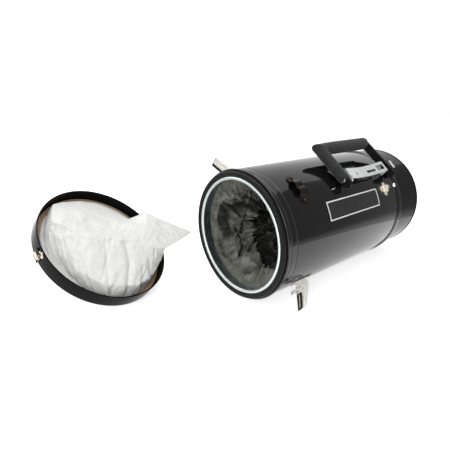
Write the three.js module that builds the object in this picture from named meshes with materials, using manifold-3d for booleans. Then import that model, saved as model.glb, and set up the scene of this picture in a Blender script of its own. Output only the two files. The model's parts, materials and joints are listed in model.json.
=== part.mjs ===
import * as THREE from "three";
import { mergeVertices } from "three/addons/utils/BufferGeometryUtils.js";
import { ConvexGeometry } from "three/addons/geometries/ConvexGeometry.js";
import Module from "manifold-3d";

// Canister dust collector on its side, the front cap with its paper bag set down beside it.
// Millimetres, Z up. Stations along the canister are measured rearward (+Y) from the gasket's
// front plane; angles round it run from +X (the side with the label) over the top.

// Fits and facets
const GAP = 0.3;
const FACETS_SHELL = 64;
const FACETS_INNER = 32;
const FACETS_SMALL = 20;
const FACETS_SCREW = 12;
const SPAN = 400;
const WELD = 0.0001;

// Main tube
const TUBE_RADIUS = 95;
const TUBE_WALL = 1.4;
const TUBE_LENGTH = 271;
const HEM_STEP = 1.2;
const HEM_WIDTH = 3.2;
const GROOVE_DEPTH = 0.7;
const GROOVE_HALF = 0.8;
const GROOVE_FRONT_AT = 13;
const GROOVE_REAR_AT = 24;

// Mouth: gasket, filter ring and cloth filter
const GASKET_STAND = 6;
const TUBE_REAR = GASKET_STAND + TUBE_LENGTH;
const GASKET_INSET = 8.5;
const GASKET_BORE = TUBE_RADIUS - GASKET_INSET;
const GASKET_SEAT = 8;
const GASKET_ROUND = 1.4;
const BEAD_HALF = 1.5;
const BEAD_GAP = 0.25;
const BEAD_RADIUS = GASKET_BORE - BEAD_HALF - BEAD_GAP;
const BEAD_AT = 3.66;
const SLEEVE_WALL = 0.9;
const SLEEVE_END = 28;
const CLOTH_THICKNESS = 1.2;
const CLOTH_LENGTH = 122;
const CLOTH_DEPTH = SLEEVE_END + CLOTH_LENGTH;
const CLOTH_END_INSET = 35;
const CLOTH_END_RADIUS = TUBE_RADIUS - CLOTH_END_INSET;
const CLOTH_BELLY_INSET = 15;
const CLOTH_BELLY_RADIUS = TUBE_RADIUS - CLOTH_BELLY_INSET;
const CLOTH_BELLY_LENGTH = 50;
const CLOTH_BELLY_AT = CLOTH_DEPTH - CLOTH_BELLY_LENGTH;

// Rear band and rear cap
const SEAM_GAP = 1.3;
const BAND_WIDTH = 17.6;
const BAND_FRONT = TUBE_REAR + SEAM_GAP;
const BAND_REAR = BAND_FRONT + BAND_WIDTH;
const BAND_ROUND = 3;
const REAR_WALL_INSET = 1.8;
const REAR_WALL_RADIUS = TUBE_RADIUS - REAR_WALL_INSET;
const REAR_TAPER = 1.4;
const REAR_END_RADIUS = REAR_WALL_RADIUS - REAR_TAPER;
const REAR_RIM_STEP = 0.8;
const REAR_RIM_RADIUS = REAR_END_RADIUS + REAR_RIM_STEP;
const REAR_RIM_WIDTH = 4;
const REAR_RIM_THICK = 2.8;
const REAR_RIM_INNER = REAR_RIM_RADIUS - REAR_RIM_THICK;
const REAR_REACH = 62.3;
const REAR_LENGTH = BAND_REAR + REAR_REACH;
const REAR_RECESS = 6;
const REAR_SKIRT = 15;

// Exhaust collar, switch, cord gland and screws on the rear face
const PORT_BORE = 17;
const PORT_RADIUS = 19.4;
const PORT_FLANGE = 25;
const PORT_FLANGE_THICK = 2;
const PORT_INSIDE = 6;
const PORT_OUTSIDE = 16;
const SWITCH_INSET = 33;
const SWITCH_RADIUS = TUBE_RADIUS - SWITCH_INSET;
const SWITCH_BEZEL = 19;
const SWITCH_BEZEL_HIGH = 26;
const SWITCH_BEZEL_THICK = 2;
const SWITCH_BODY = 15.4;
const SWITCH_BODY_HIGH = 22.4;
const SWITCH_WALL = 1.2;
const SWITCH_DEPTH = 15;
const ROCKER_ARM = 9.4;
const ROCKER_PIVOT_DEPTH = 0.6;
const ROCKER_TILT_ANGLE = 10;
const ROCKER_SINK = 6;
const GLAND_RADIUS = 7;
const GLAND_FLANGE = 10;
const GLAND_BORE = 4;
const GLAND_THICK = 4;
const GLAND_INSIDE = 8;
const GLAND_ANGLE = 305;
const SCREW_INSET = 17;
const SCREW_RADIUS = TUBE_RADIUS - SCREW_INSET;
const SCREW_SHANK = 2;
const SCREW_HEAD = 4.2;
const SCREW_HEAD_HIGH = 2.2;
const SCREW_DEPTH = 8;
const SCREW_ANGLES = [35, 215];

// Bulkhead, fan case and fan
const BULKHEAD_GAP = 22;
const BULKHEAD_AT = CLOTH_DEPTH + BULKHEAD_GAP;
const BULKHEAD_THICK = 1.6;
const BULKHEAD_INSET = 7;
const BULKHEAD_RADIUS = TUBE_RADIUS - BULKHEAD_INSET;
const BULKHEAD_FLANGE = 9;
const EYE_RADIUS = 22;
const CASE_INSET = 23;
const CASE_RADIUS = TUBE_RADIUS - CASE_INSET;
const CASE_WALL = 1.4;
const CASE_LENGTH = 47;
const FAN_INSET = 10;
const FAN_RADIUS = CASE_RADIUS - FAN_INSET;
const FAN_PLATE = 1.4;
const FAN_DEPTH = 12;
const FAN_STAND = 7;
const FAN_FRONT_AT = BULKHEAD_AT + FAN_STAND;
const FAN_PITCH = 25;
const FAN_REAR_AT = FAN_FRONT_AT + FAN_PITCH;
const VANE_COUNT = 7;
const VANE_STEPS = 6;
const VANE_THICK = 1.3;
const VANE_INNER = 25;
const VANE_SWEEP_ANGLE = 70;
const VANE_BITE = 0.4;
const DIFFUSER_STAND = 8;
const DIFFUSER_AT = FAN_REAR_AT - DIFFUSER_STAND;
const DIFFUSER_THICK = 1.6;
const DIFFUSER_VANE = 3.6;
const DIFFUSER_EYE = 20;

// Shaft, motor and bearings
const SHAFT_RADIUS = 4;
const SHAFT_NOSE = 3;
const SHAFT_START = FAN_FRONT_AT - SHAFT_NOSE;
const SHAFT_LENGTH = 146;
const SHAFT_END = SHAFT_START + SHAFT_LENGTH;
const FAN_HUB = 9;
const NUT_RADIUS = 7;
const NUT_THICK = 3.4;
const BRACKET_THICK = 2.4;
const BEARING_RADIUS = 11;
const BEARING_WIDTH = 7;
const BEARING_WALL = 2.6;
const STATOR_STAND = 36;
const STATOR_AT = FAN_REAR_AT + STATOR_STAND;
const STATOR_LENGTH = 44;
const STATOR_RADIUS = 42;
const STATOR_BORE = 27.4;
const STATOR_FLAT = 35;
const STATOR_SLOT = 15;
const STATOR_SLOT_RADIUS = 34.5;
const ROTOR_RADIUS = 26.6;
const ROTOR_SLOTS = 12;
const ROTOR_SLOT_DEPTH = 3.4;
const ROTOR_SLOT_SHARE = 0.34;
const COIL_OVERHANG = 9;
const COIL_DEPTH = 5;
const COIL_HALF = 12.5;
const COMMUTATOR_STAND = 11;
const COMMUTATOR_AT = STATOR_AT + STATOR_LENGTH + COMMUTATOR_STAND;
const COMMUTATOR_LENGTH = 11;
const COMMUTATOR_RADIUS = 13;
const BRUSH_SIDE = 6;
const BRUSH_LENGTH = 16;
const FRAME_STAND = 25;
const FRAME_AT = STATOR_AT + STATOR_LENGTH + FRAME_STAND;
const FRAME_ARM = 12;
const FRAME_ARM_THICK = 5;
const FRAME_REACH = 47.5;

// Draw latches, diametrically opposite
const LATCH_ANGLES = { lower: -41, upper: 139 };
const LATCH_AT = 62;
const LATCH_WIDTH = 17;
const LATCH_BASE_FRONT = 14;
const LATCH_BASE_REAR = 20;
const LATCH_BASE_THICK = 1.6;
const LATCH_PIVOT = 7;
const LATCH_EAR_RADIUS = 4;
const LATCH_EAR_THICK = 1.5;
const LATCH_EAR_HALF = 6.4;
const LATCH_PIN_RADIUS = 1.5;
const LATCH_SHEET = 1.4;
const LATCH_EYE = 4.4;
const LEVER_LENGTH = 40.5;
const LEVER_WEB_START = 14;
const LEVER_MID = 30;
const LEVER_HEEL_DEPTH = 4.2;
const LEVER_TIP_DEPTH = 1.6;
const LEVER_LEAN_ANGLES = { lower: 37, upper: 25 };
const LEVER_TIP_CURL = 1.4;
const HOOK_ON_LEVER = 7.4;
const HOOK_WIDTH = 7.6;
const HOOK_SHEET = 1.8;
const HOOK_EYE = 2.8;
const HOOK_PIN = 1.2;
const HOOK_REACH = 21;
const HOOK_DROP = 3.6;
const HOOK_LIP = 4.6;

// Handle: bail, foam grip, posts, pins and stay
const HANDLE_ANGLE = 46;
const HINGE_STAND = 10;
const HINGE_RADIUS = TUBE_RADIUS + HINGE_STAND;
const FOLD_ANGLE = 141.8;
const BAIL_END_GAP = 8.4;
const BAIL_REAR = TUBE_REAR - BAIL_END_GAP;
const BAIL_LENGTH = 122.2;
const BAIL_FRONT = BAIL_REAR - BAIL_LENGTH;
const BAIL_REACH = 60.9;
const BAIL_LEAN = 0.6;
const BAIL_THICK = 4;
const BAIL_WIDTH = 13;
const BAIL_TAIL = 15;
const GRIP_LEG_RADIUS = 8.1;
const GRIP_MITRE_RADIUS = 8.8;
const GRIP_RADIUS = 9.9;
const GRIP_FACETS = 16;
const GRIP_TAIL = 2;
const GRIP_POCKET = 5.4;
const GRIP_END_BACK = 2;
const PIN_RADIUS = 3;
const PIN_HEAD = 4.8;
const PIN_HEAD_THICK = 1.8;
const PIN_HEAD_STAND = 3.8;
const POST_EAR = 7.5;
const POST_WEB = 12;
const POST_FRONT_STAND = 8.5;
const POST_FRONT_AT = BAIL_FRONT + POST_FRONT_STAND;
const POST_FRONT_THICK = 3.4;
const POST_REAR_STAND = 2.6;
const POST_REAR_AT = BAIL_REAR + POST_REAR_STAND;
const POST_REAR_THICK = 5.4;
const POST_FOOT_HALF = 10;
const POST_FOOT_THICK = 2.4;
const STAY_ANGLE = 48.8;
const STAY_STAND = 15.2;
const STAY_WIDTH = 18.5;
const STAY_LENGTH = 99.4;
const STAY_THICK = 2;
const STAY_DIP = 5;
const STAY_REAR_WINDOW = 9.7;
const STAY_REAR_WINDOW_LENGTH = 17.4;
const STAY_LONG_WINDOW = 4.6;
const STAY_LONG_WINDOW_LENGTH = 24;
const STAY_SLOT_LENGTH = 5;
const STAY_WINDOW_OFFSET = 1.7;
const STAY_WINDOW_EDGE = 2.5;
const STAY_WINDOW_BAR = 3.4;
const STAY_SLOT_BAR = 27;

// Strap loop on the handle line
const LOOP_ANGLE = 50;
const LOOP_AT = 57;
const LOOP_WIDTH = 13;
const LOOP_THICK = 1.8;
const LOOP_RISE = 6.5;
const LOOP_EDGE_ANGLE = 13.6;
const LOOP_FOOT_ANGLE = 8;
const LOOP_BRIDGE_ANGLE = 5.6;
const LOOP_WAVE = 1.1;
const LOOP_SCREW_ANGLE = 10.8;
const LOOP_SCREW_HEAD = 3.4;
const LOOP_SCREW_HIGH = 1.8;
const LOOP_SCREW_SHANK = 1.6;

// Label plate, rear catch and its ball stud
const LABEL_FROM_ANGLE = 15.4;
const LABEL_TO_ANGLE = 33;
const LABEL_LENGTH = 130;
const LABEL_END_GAP = 53;
const LABEL_AT = TUBE_REAR - LABEL_END_GAP - LABEL_LENGTH;
const LABEL_THICK = 0.8;
const LABEL_STEPS = 5;
const CATCH_ANGLE = 29.5;
const CATCH_LENGTH = 26;
const CATCH_END_GAP = 11;
const CATCH_AT = TUBE_REAR - CATCH_END_GAP - CATCH_LENGTH;
const CATCH_WIDTH = 15;
const CATCH_THICK = 1.6;
const CATCH_LOBE_RADIUS = 6.4;
const CATCH_LOBE_HIGH = 5;
const CATCH_STEP_LENGTH = 7;
const CATCH_STEP_HIGH = 2.6;
const BALL_ANGLE = 30.6;
const BALL_END_GAP = 5.4;
const BALL_AT = TUBE_REAR - BALL_END_GAP;
const BALL_RADIUS = 3.6;
const BALL_STEM = 2;
const BALL_STAND = 4.6;

// Front cap set down beside the canister
const CAP_TILT_ANGLE = 40.96;
const CAP_LEAN_ANGLE = 25.88;
const CAP_CLEARANCE = 3;
const CAP_RADIUS = TUBE_RADIUS + HEM_STEP + CAP_CLEARANCE;
const CAP_BESIDE = 43.4;
const CAP_X = -TUBE_RADIUS - CAP_BESIDE;
const CAP_AHEAD = 36.3;
const CAP_Y = -CAP_RADIUS - CAP_AHEAD;
const CAP_DEPTH = 23.6;
const CAP_WALL = 1.4;
const CAP_CHAMFER = 1.4;
const CAP_RIM_ROLL = 1.2;
const CAP_SEAL_INSET = 2.2;
const CAP_SEAL_OUTER = CAP_RADIUS - CAP_SEAL_INSET;
const CAP_SEAL_WIDTH = 9;
const CAP_SEAL_INNER = CAP_SEAL_OUTER - CAP_SEAL_WIDTH;
const CAP_SEAL_THICK = 5;
const CAP_SEAL_ROUND = 1.5;
const KEEPER_ANGLES = [164, 344];
const KEEPER_WIDTH = 14;
const KEEPER_HIGH = 17;
const KEEPER_THICK = 1.4;
const KEEPER_LIP = 3.2;
const KEEPER_LIP_THICK = 1.6;

// Hose neck through the cap
const NECK_RADIUS = 22;
const NECK_BORE = 18.4;
const NECK_FLANGE = 32;
const NECK_FLANGE_THICK = 2.2;
const SPIGOT_RADIUS = 20.4;
const SPIGOT_STAND = 13;
const NECK_ROUND = 1;

// Paper bag and its card
const CARD_SIDE_SHARE = 1.1895;
const CARD_SIDE = CAP_RADIUS * CARD_SIDE_SHARE;
const CARD_THICK = 2;
const BAG_FLOOR_INSET = 16.2;
const BAG_FLOOR_RADIUS = CAP_RADIUS - BAG_FLOOR_INSET;
const BAG_BELLY_INSET = 13.2;
const BAG_BELLY_RADIUS = CAP_RADIUS - BAG_BELLY_INSET;
const BAG_BELLY_UP = 8;
const BAG_FLOOR_POINTS = 20;
const BAG_POCKET = 22.4;
const BAG_POCKET_DEPTH = 22;
// Corners of the folded paper as shares of the cap radius: across, uphill, above the mouth.
const BAG_TOP_SHARES = [
  [-0.28, 0.87, -0.05],
  [-0.6, 0.57, 0.03],
  [-0.48, 0.06, 0.28],
  [-0.33, -0.1, 0.35],
  [0.3, -0.3, 0.36],
  [0.42, 0.76, -0.13],
  [0.66, 0.4, 0.16],
  [0.5, -0.5, 0.2],
];
const FLAP_SHARES = [
  [-0.25, -0.12, 0.36],
  [0.36, -0.72, 0.415],
  [1.14, -0.7, 0.455],
  [0.78, 0.02, 0.3],
  [0.3, 0.2, 0.22],
];
const FLAP_THICK = 4;

// Stations that follow from the sizes above
const RAD = Math.PI / 180;
const HEM_RADIUS = TUBE_RADIUS + HEM_STEP;
const AXIS_HEIGHT = HEM_RADIUS;
const TUBE_INNER = TUBE_RADIUS - TUBE_WALL;
const FACE_AT = REAR_LENGTH - REAR_RECESS;

const wasm = await Module();
wasm.setup();

const part = new THREE.Group();
part.name = "dust_collector";

// Welds a geometry into one closed skin and drops needle faces at the poles.
function welded(geometry) {
  const bare = geometry.clone();
  bare.deleteAttribute("normal");
  bare.deleteAttribute("uv");
  const merged = mergeVertices(bare, WELD);
  const index = merged.index.array;
  const kept = [];
  for (let i = 0; i < index.length; i += 3) {
    const [a, b, c] = [index[i], index[i + 1], index[i + 2]];
    if (a !== b && b !== c && c !== a) {
      kept.push(a, b, c);
    }
  }
  merged.setIndex(kept);
  merged.computeVertexNormals();
  return merged;
}

function toSolid(geometry) {
  const skin = welded(geometry);
  const mesh = new wasm.Mesh({
    numProp: 3,
    vertProperties: new Float32Array(skin.attributes.position.array),
    triVerts: new Uint32Array(skin.index.array),
  });
  return new wasm.Manifold(mesh);
}

function fromSolid(solid) {
  const mesh = solid.getMesh();
  const geometry = new THREE.BufferGeometry();
  geometry.setAttribute("position", new THREE.BufferAttribute(new Float32Array(mesh.vertProperties), 3));
  geometry.setIndex(Array.from(mesh.triVerts));
  geometry.computeVertexNormals();
  return geometry;
}

function joined(...pieces) {
  return fromSolid(pieces.map(toSolid).reduce((whole, piece) => whole.add(piece)));
}

function cut(base, ...tools) {
  return fromSolid(tools.map(toSolid).reduce((whole, tool) => whole.subtract(tool), toSolid(base)));
}

function common(base, tool) {
  return fromSolid(toSolid(base).intersect(toSolid(tool)));
}

// Turns a profile of radius and station round the Y axis; it closes itself off the axis.
function turned(profile, facets = FACETS_SHELL) {
  let area = 0;
  for (let i = 0; i < profile.length; i += 1) {
    const [r0, y0] = profile[i];
    const [r1, y1] = profile[(i + 1) % profile.length];
    area += r0 * y1 - r1 * y0;
  }
  const points = (area > 0 ? profile : [...profile].reverse()).map(([r, y]) => new THREE.Vector2(r, y));
  const open = profile[0][0] === 0 && profile[profile.length - 1][0] === 0;
  if (!open) {
    points.push(points[0].clone());
  }
  return welded(new THREE.LatheGeometry(points, facets));
}

// Plain ring between two radii and two stations.
function ring(inner, outer, from, to, facets = FACETS_INNER) {
  return turned([[outer, from], [outer, to], [inner, to], [inner, from]], facets);
}

// Solid round bar along Y.
function bar(radius, from, to, facets = FACETS_SMALL) {
  return turned([[0, from], [radius, from], [radius, to], [0, to]], facets);
}

function outline(points) {
  return new THREE.Shape(points.map(([x, y]) => new THREE.Vector2(x, y)));
}

// Extrudes an outline, centred on its own plane.
function plate(points, thickness) {
  const geometry = new THREE.ExtrudeGeometry(outline(points), { depth: thickness, bevelEnabled: false });
  return geometry.translate(0, 0, -thickness / 2);
}

// Outline drawn across the canister (X, Z) and carried along Y.
function axial(points, from, length) {
  const geometry = plate(points.map(([x, z]) => [x, -z]), length);
  return geometry.rotateX(-Math.PI / 2).translate(0, from + length / 2, 0);
}

// Outline drawn along Y and outward, carried across by its width.
const SIDEWAYS = new THREE.Matrix4().makeBasis(
  new THREE.Vector3(0, 1, 0),
  new THREE.Vector3(0, 0, 1),
  new THREE.Vector3(1, 0, 0),
);

function sideways(points, width) {
  return plate(points, width).applyMatrix4(SIDEWAYS);
}

function block(x, y, z) {
  return new THREE.BoxGeometry(x, y, z);
}

function arc(centre, radius, from, to, steps) {
  return Array.from({ length: steps + 1 }, (_, i) => {
    const a = (from + ((to - from) * i) / steps) * RAD;
    return [centre[0] + radius * Math.cos(a), centre[1] + radius * Math.sin(a)];
  });
}

// Moves a piece drawn outward along Z to its angle round the canister.
function atAngle(geometry, degrees) {
  const a = degrees * RAD;
  const basis = new THREE.Matrix4().makeBasis(
    new THREE.Vector3(Math.sin(a), 0, -Math.cos(a)),
    new THREE.Vector3(0, 1, 0),
    new THREE.Vector3(Math.cos(a), 0, Math.sin(a)),
  );
  return geometry.applyMatrix4(basis);
}

// Moves a piece from the Y axis to a place across the canister.
function offAxis(geometry, radius, degrees) {
  return geometry.translate(radius * Math.cos(degrees * RAD), 0, radius * Math.sin(degrees * RAD));
}

// Joins rings of points into a skin with flat ends.
function lofted(rings) {
  const count = rings[0].length;
  const positions = rings.flat(2);
  const faces = [];
  for (let k = 0; k < rings.length - 1; k += 1) {
    for (let i = 0; i < count; i += 1) {
      const j = (i + 1) % count;
      const [a, b, c, d] = [k * count + i, k * count + j, (k + 1) * count + j, (k + 1) * count + i];
      faces.push(a, b, c, a, c, d);
    }
  }
  const last = (rings.length - 1) * count;
  for (let i = 1; i < count - 1; i += 1) {
    faces.push(0, i + 1, i, last, last + i, last + i + 1);
  }
  const geometry = new THREE.BufferGeometry();
  geometry.setAttribute("position", new THREE.Float32BufferAttribute(positions, 3));
  geometry.setIndex(faces);
  geometry.computeVertexNormals();
  return geometry;
}

// Sweeps a section (in the path's plane, across it) along a flat path with mitred corners.
function mitred(path, section, scales = path.map(() => 1)) {
  const normals = path.slice(1).map(([x, y], i) => {
    const [dx, dy] = [x - path[i][0], y - path[i][1]];
    const size = Math.hypot(dx, dy);
    return [dy / size, -dx / size];
  });
  const rings = path.map(([x, y], i) => {
    const before = normals[Math.max(i - 1, 0)];
    const after = normals[Math.min(i, normals.length - 1)];
    const share = 1 + before[0] * after[0] + before[1] * after[1];
    const m = [(before[0] + after[0]) / share, (before[1] + after[1]) / share];
    return section.map(([n, w]) => [x + n * m[0] * scales[i], y + n * m[1] * scales[i], w * scales[i]]);
  });
  return lofted(rings);
}

function outward(geometry) {
  const solid = toSolid(geometry);
  if (solid.volume() > 0) {
    return geometry;
  }
  const index = Array.from(geometry.index.array);
  for (let i = 0; i < index.length; i += 3) {
    [index[i + 1], index[i + 2]] = [index[i + 2], index[i + 1]];
  }
  geometry.setIndex(index);
  geometry.computeVertexNormals();
  return geometry;
}

const finishes = {
  enamel: { color: 0x17181a, metalness: 0.2, roughness: 0.18 },
  rubber: { color: 0x101112, metalness: 0, roughness: 0.7 },
  nickel: { color: 0xc9c4b8, metalness: 0.9, roughness: 0.25 },
  dark_nickel: { color: 0x2c2624, metalness: 0.8, roughness: 0.35 },
  galvanised: { color: 0xb9c2bd, metalness: 0.8, roughness: 0.4 },
  cloth: { color: 0x4a4b4c, metalness: 0, roughness: 0.95 },
  paper: { color: 0xe6e5e0, metalness: 0, roughness: 0.9 },
  felt: { color: 0xb79a72, metalness: 0, roughness: 0.9 },
  steel: { color: 0x9a9c9e, metalness: 0.8, roughness: 0.4 },
  aluminium: { color: 0xbfc1c4, metalness: 0.8, roughness: 0.35 },
  copper: { color: 0xa8673a, metalness: 0.8, roughness: 0.35 },
  carbon: { color: 0x2b2b2d, metalness: 0, roughness: 0.8 },
  plastic: { color: 0x1b1c1e, metalness: 0, roughness: 0.5 },
};

function add(name, geometry, finish) {
  const mesh = new THREE.Mesh(welded(geometry), new THREE.MeshStandardMaterial(finishes[finish]));
  mesh.name = name;
  part.add(mesh);
  return mesh;
}

// Adds a piece drawn about the canister's own axis.
function addToCanister(name, geometry, finish) {
  return add(name, geometry.translate(0, 0, AXIS_HEIGHT), finish);
}

// Main tube
addToCanister("main_tube", turned([
  [HEM_RADIUS, GASKET_STAND],
  [HEM_RADIUS, GASKET_STAND + HEM_WIDTH],
  [TUBE_RADIUS, GASKET_STAND + HEM_WIDTH + HEM_STEP],
  [TUBE_RADIUS, GROOVE_FRONT_AT - GROOVE_HALF],
  [TUBE_RADIUS - GROOVE_DEPTH, GROOVE_FRONT_AT],
  [TUBE_RADIUS, GROOVE_FRONT_AT + GROOVE_HALF],
  [TUBE_RADIUS, GROOVE_REAR_AT - GROOVE_HALF],
  [TUBE_RADIUS - GROOVE_DEPTH, GROOVE_REAR_AT],
  [TUBE_RADIUS, GROOVE_REAR_AT + GROOVE_HALF],
  [TUBE_RADIUS, TUBE_REAR],
  [TUBE_INNER, TUBE_REAR],
  [TUBE_INNER, GASKET_STAND],
]), "enamel");

// Mouth gasket
const GASKET_RADIUS = TUBE_INNER - GAP;
addToCanister("mouth_gasket", turned([
  [GASKET_RADIUS - GASKET_ROUND, 0],
  [GASKET_RADIUS, GASKET_ROUND],
  [GASKET_RADIUS, GASKET_STAND + GASKET_SEAT],
  [GASKET_BORE, GASKET_STAND + GASKET_SEAT],
  [GASKET_BORE, 0],
]), "rubber");

// Filter ring: rolled bead and sleeve
const SLEEVE_RADIUS = BEAD_RADIUS + BEAD_HALF - GAP;
addToCanister("filter_ring", turned([
  [BEAD_RADIUS, BEAD_AT - BEAD_HALF],
  [BEAD_RADIUS + BEAD_HALF, BEAD_AT],
  [SLEEVE_RADIUS, BEAD_AT + BEAD_HALF],
  [SLEEVE_RADIUS, SLEEVE_END],
  [SLEEVE_RADIUS - SLEEVE_WALL, SLEEVE_END],
  [SLEEVE_RADIUS - SLEEVE_WALL, BEAD_AT + BEAD_HALF],
  [BEAD_RADIUS - BEAD_HALF, BEAD_AT],
]), "galvanised");

// Cloth filter: a bag hanging back from the sleeve
const CLOTH_START = SLEEVE_END - GASKET_SEAT;
const CLOTH_OUTER = SLEEVE_RADIUS - SLEEVE_WALL - GAP;
addToCanister("cloth_filter", turned([
  [CLOTH_OUTER, CLOTH_START],
  [CLOTH_OUTER, SLEEVE_END],
  [CLOTH_BELLY_RADIUS, CLOTH_BELLY_AT],
  [CLOTH_END_RADIUS, CLOTH_DEPTH],
  [0, CLOTH_DEPTH],
  [0, CLOTH_DEPTH - CLOTH_THICKNESS],
  [CLOTH_END_RADIUS - CLOTH_THICKNESS, CLOTH_DEPTH - CLOTH_THICKNESS],
  [CLOTH_BELLY_RADIUS - CLOTH_THICKNESS, CLOTH_BELLY_AT],
  [CLOTH_OUTER - CLOTH_THICKNESS, SLEEVE_END],
  [CLOTH_OUTER - CLOTH_THICKNESS, CLOTH_START],
], FACETS_INNER), "cloth");

// Rear band over the seam
addToCanister("rear_band", turned([
  [HEM_RADIUS - BAND_ROUND, BAND_FRONT],
  [HEM_RADIUS - BAND_ROUND / 3, BAND_FRONT + BAND_ROUND / 3],
  [HEM_RADIUS, BAND_FRONT + BAND_ROUND],
  [HEM_RADIUS, BAND_REAR - BAND_ROUND],
  [HEM_RADIUS - BAND_ROUND / 3, BAND_REAR - BAND_ROUND / 3],
  [REAR_WALL_RADIUS + GAP, BAND_REAR],
  [REAR_WALL_RADIUS + GAP, BAND_FRONT],
].filter(([r]) => r >= REAR_WALL_RADIUS + GAP || r === HEM_RADIUS)), "enamel");

// Rear cap with its recessed face
const rearShell = turned([
  [REAR_WALL_RADIUS, TUBE_REAR - REAR_SKIRT],
  [REAR_WALL_RADIUS, BAND_REAR],
  [REAR_END_RADIUS, REAR_LENGTH - REAR_RIM_WIDTH],
  [REAR_RIM_RADIUS, REAR_LENGTH - REAR_RIM_WIDTH / 2],
  [REAR_RIM_RADIUS, REAR_LENGTH],
  [REAR_RIM_INNER, REAR_LENGTH],
  [REAR_RIM_INNER, FACE_AT],
  [PORT_RADIUS + GAP, FACE_AT],
  [PORT_RADIUS + GAP, FACE_AT - TUBE_WALL],
  [REAR_END_RADIUS - TUBE_WALL, FACE_AT - TUBE_WALL],
  [REAR_WALL_RADIUS - TUBE_WALL, BAND_REAR],
  [REAR_WALL_RADIUS - TUBE_WALL, TUBE_REAR - REAR_SKIRT],
]);
const switchHole = block(SWITCH_BODY + 2 * GAP, REAR_RECESS, SWITCH_BODY_HIGH + 2 * GAP)
  .translate(0, FACE_AT, SWITCH_RADIUS);
const glandHole = offAxis(
  bar(GLAND_RADIUS + GAP, FACE_AT - REAR_RECESS, FACE_AT + TUBE_WALL),
  SWITCH_RADIUS,
  GLAND_ANGLE,
);
const screwHoles = SCREW_ANGLES.map((angle) => offAxis(
  bar(SCREW_SHANK + GAP, FACE_AT - REAR_RECESS, FACE_AT + TUBE_WALL, FACETS_SCREW),
  SCREW_RADIUS,
  angle,
));
addToCanister("rear_cap", cut(rearShell, switchHole, glandHole, ...screwHoles), "enamel");

// Exhaust collar
addToCanister("exhaust_collar", turned([
  [PORT_RADIUS, FACE_AT - PORT_INSIDE],
  [PORT_RADIUS, FACE_AT + GAP],
  [PORT_FLANGE, FACE_AT + GAP],
  [PORT_FLANGE, FACE_AT + GAP + PORT_FLANGE_THICK],
  [PORT_RADIUS + GAP, FACE_AT + GAP + PORT_FLANGE_THICK],
  [PORT_RADIUS + GAP, FACE_AT + PORT_OUTSIDE],
  [PORT_BORE, FACE_AT + PORT_OUTSIDE],
  [PORT_BORE, FACE_AT - PORT_INSIDE],
], FACETS_INNER), "plastic");

// Rocker switch: bezel with a boxed body, and the rocker in it
const bezel = block(SWITCH_BEZEL, SWITCH_BEZEL_THICK, SWITCH_BEZEL_HIGH)
  .translate(0, FACE_AT + GAP + SWITCH_BEZEL_THICK / 2, SWITCH_RADIUS);
const switchBody = block(SWITCH_BODY, SWITCH_DEPTH, SWITCH_BODY_HIGH)
  .translate(0, FACE_AT + GAP + SWITCH_WALL - SWITCH_DEPTH / 2, SWITCH_RADIUS);
const switchWell = block(SWITCH_BODY - 2 * SWITCH_WALL, SWITCH_DEPTH, SWITCH_BODY_HIGH - 2 * SWITCH_WALL)
  .translate(0, FACE_AT + GAP + 2 * SWITCH_WALL + SWITCH_BEZEL_THICK - SWITCH_DEPTH / 2, SWITCH_RADIUS);
addToCanister("switch_housing", cut(joined(bezel, switchBody), switchWell), "plastic");
const ROCKER_AT = FACE_AT + GAP + SWITCH_BEZEL_THICK - ROCKER_PIVOT_DEPTH;
const rockerTop = ROCKER_ARM * Math.sin(ROCKER_TILT_ANGLE * RAD);
const rockerProfile = [
  [rockerTop, ROCKER_ARM * Math.cos(ROCKER_TILT_ANGLE * RAD)],
  [0, 0],
  [rockerTop, -ROCKER_ARM * Math.cos(ROCKER_TILT_ANGLE * RAD)],
  ...arc([0, 0], ROCKER_ARM, 270, 235, 3),
  [-ROCKER_SINK, 0],
  ...arc([0, 0], ROCKER_ARM, 125, 90, 3),
];
addToCanister("switch_rocker", sideways(rockerProfile, SWITCH_BODY - 2 * SWITCH_WALL - 2 * GAP)
  .rotateX(ROCKER_TILT_ANGLE * RAD)
  .translate(0, ROCKER_AT, SWITCH_RADIUS), "plastic");

// Cord gland and rear screws
addToCanister("cord_gland", offAxis(turned([
  [GLAND_RADIUS, FACE_AT - GLAND_INSIDE],
  [GLAND_RADIUS, FACE_AT + GAP],
  [GLAND_FLANGE, FACE_AT + GAP],
  [GLAND_FLANGE, FACE_AT + GAP + GLAND_THICK / 2],
  [GLAND_RADIUS, FACE_AT + GAP + GLAND_THICK],
  [GLAND_BORE, FACE_AT + GAP + GLAND_THICK],
  [GLAND_BORE, FACE_AT - GLAND_INSIDE],
], FACETS_SMALL), SWITCH_RADIUS, GLAND_ANGLE), "rubber");
SCREW_ANGLES.forEach((angle, i) => {
  addToCanister(`rear_screw_${i + 1}`, offAxis(turned([
    [0, FACE_AT - SCREW_DEPTH],
    [SCREW_SHANK, FACE_AT - SCREW_DEPTH],
    [SCREW_SHANK, FACE_AT + GAP],
    [SCREW_HEAD, FACE_AT + GAP],
    [SCREW_HEAD / 2, FACE_AT + GAP + SCREW_HEAD_HIGH],
    [0, FACE_AT + GAP + SCREW_HEAD_HIGH],
  ], FACETS_SCREW), SCREW_RADIUS, angle), "steel");
});

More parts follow.
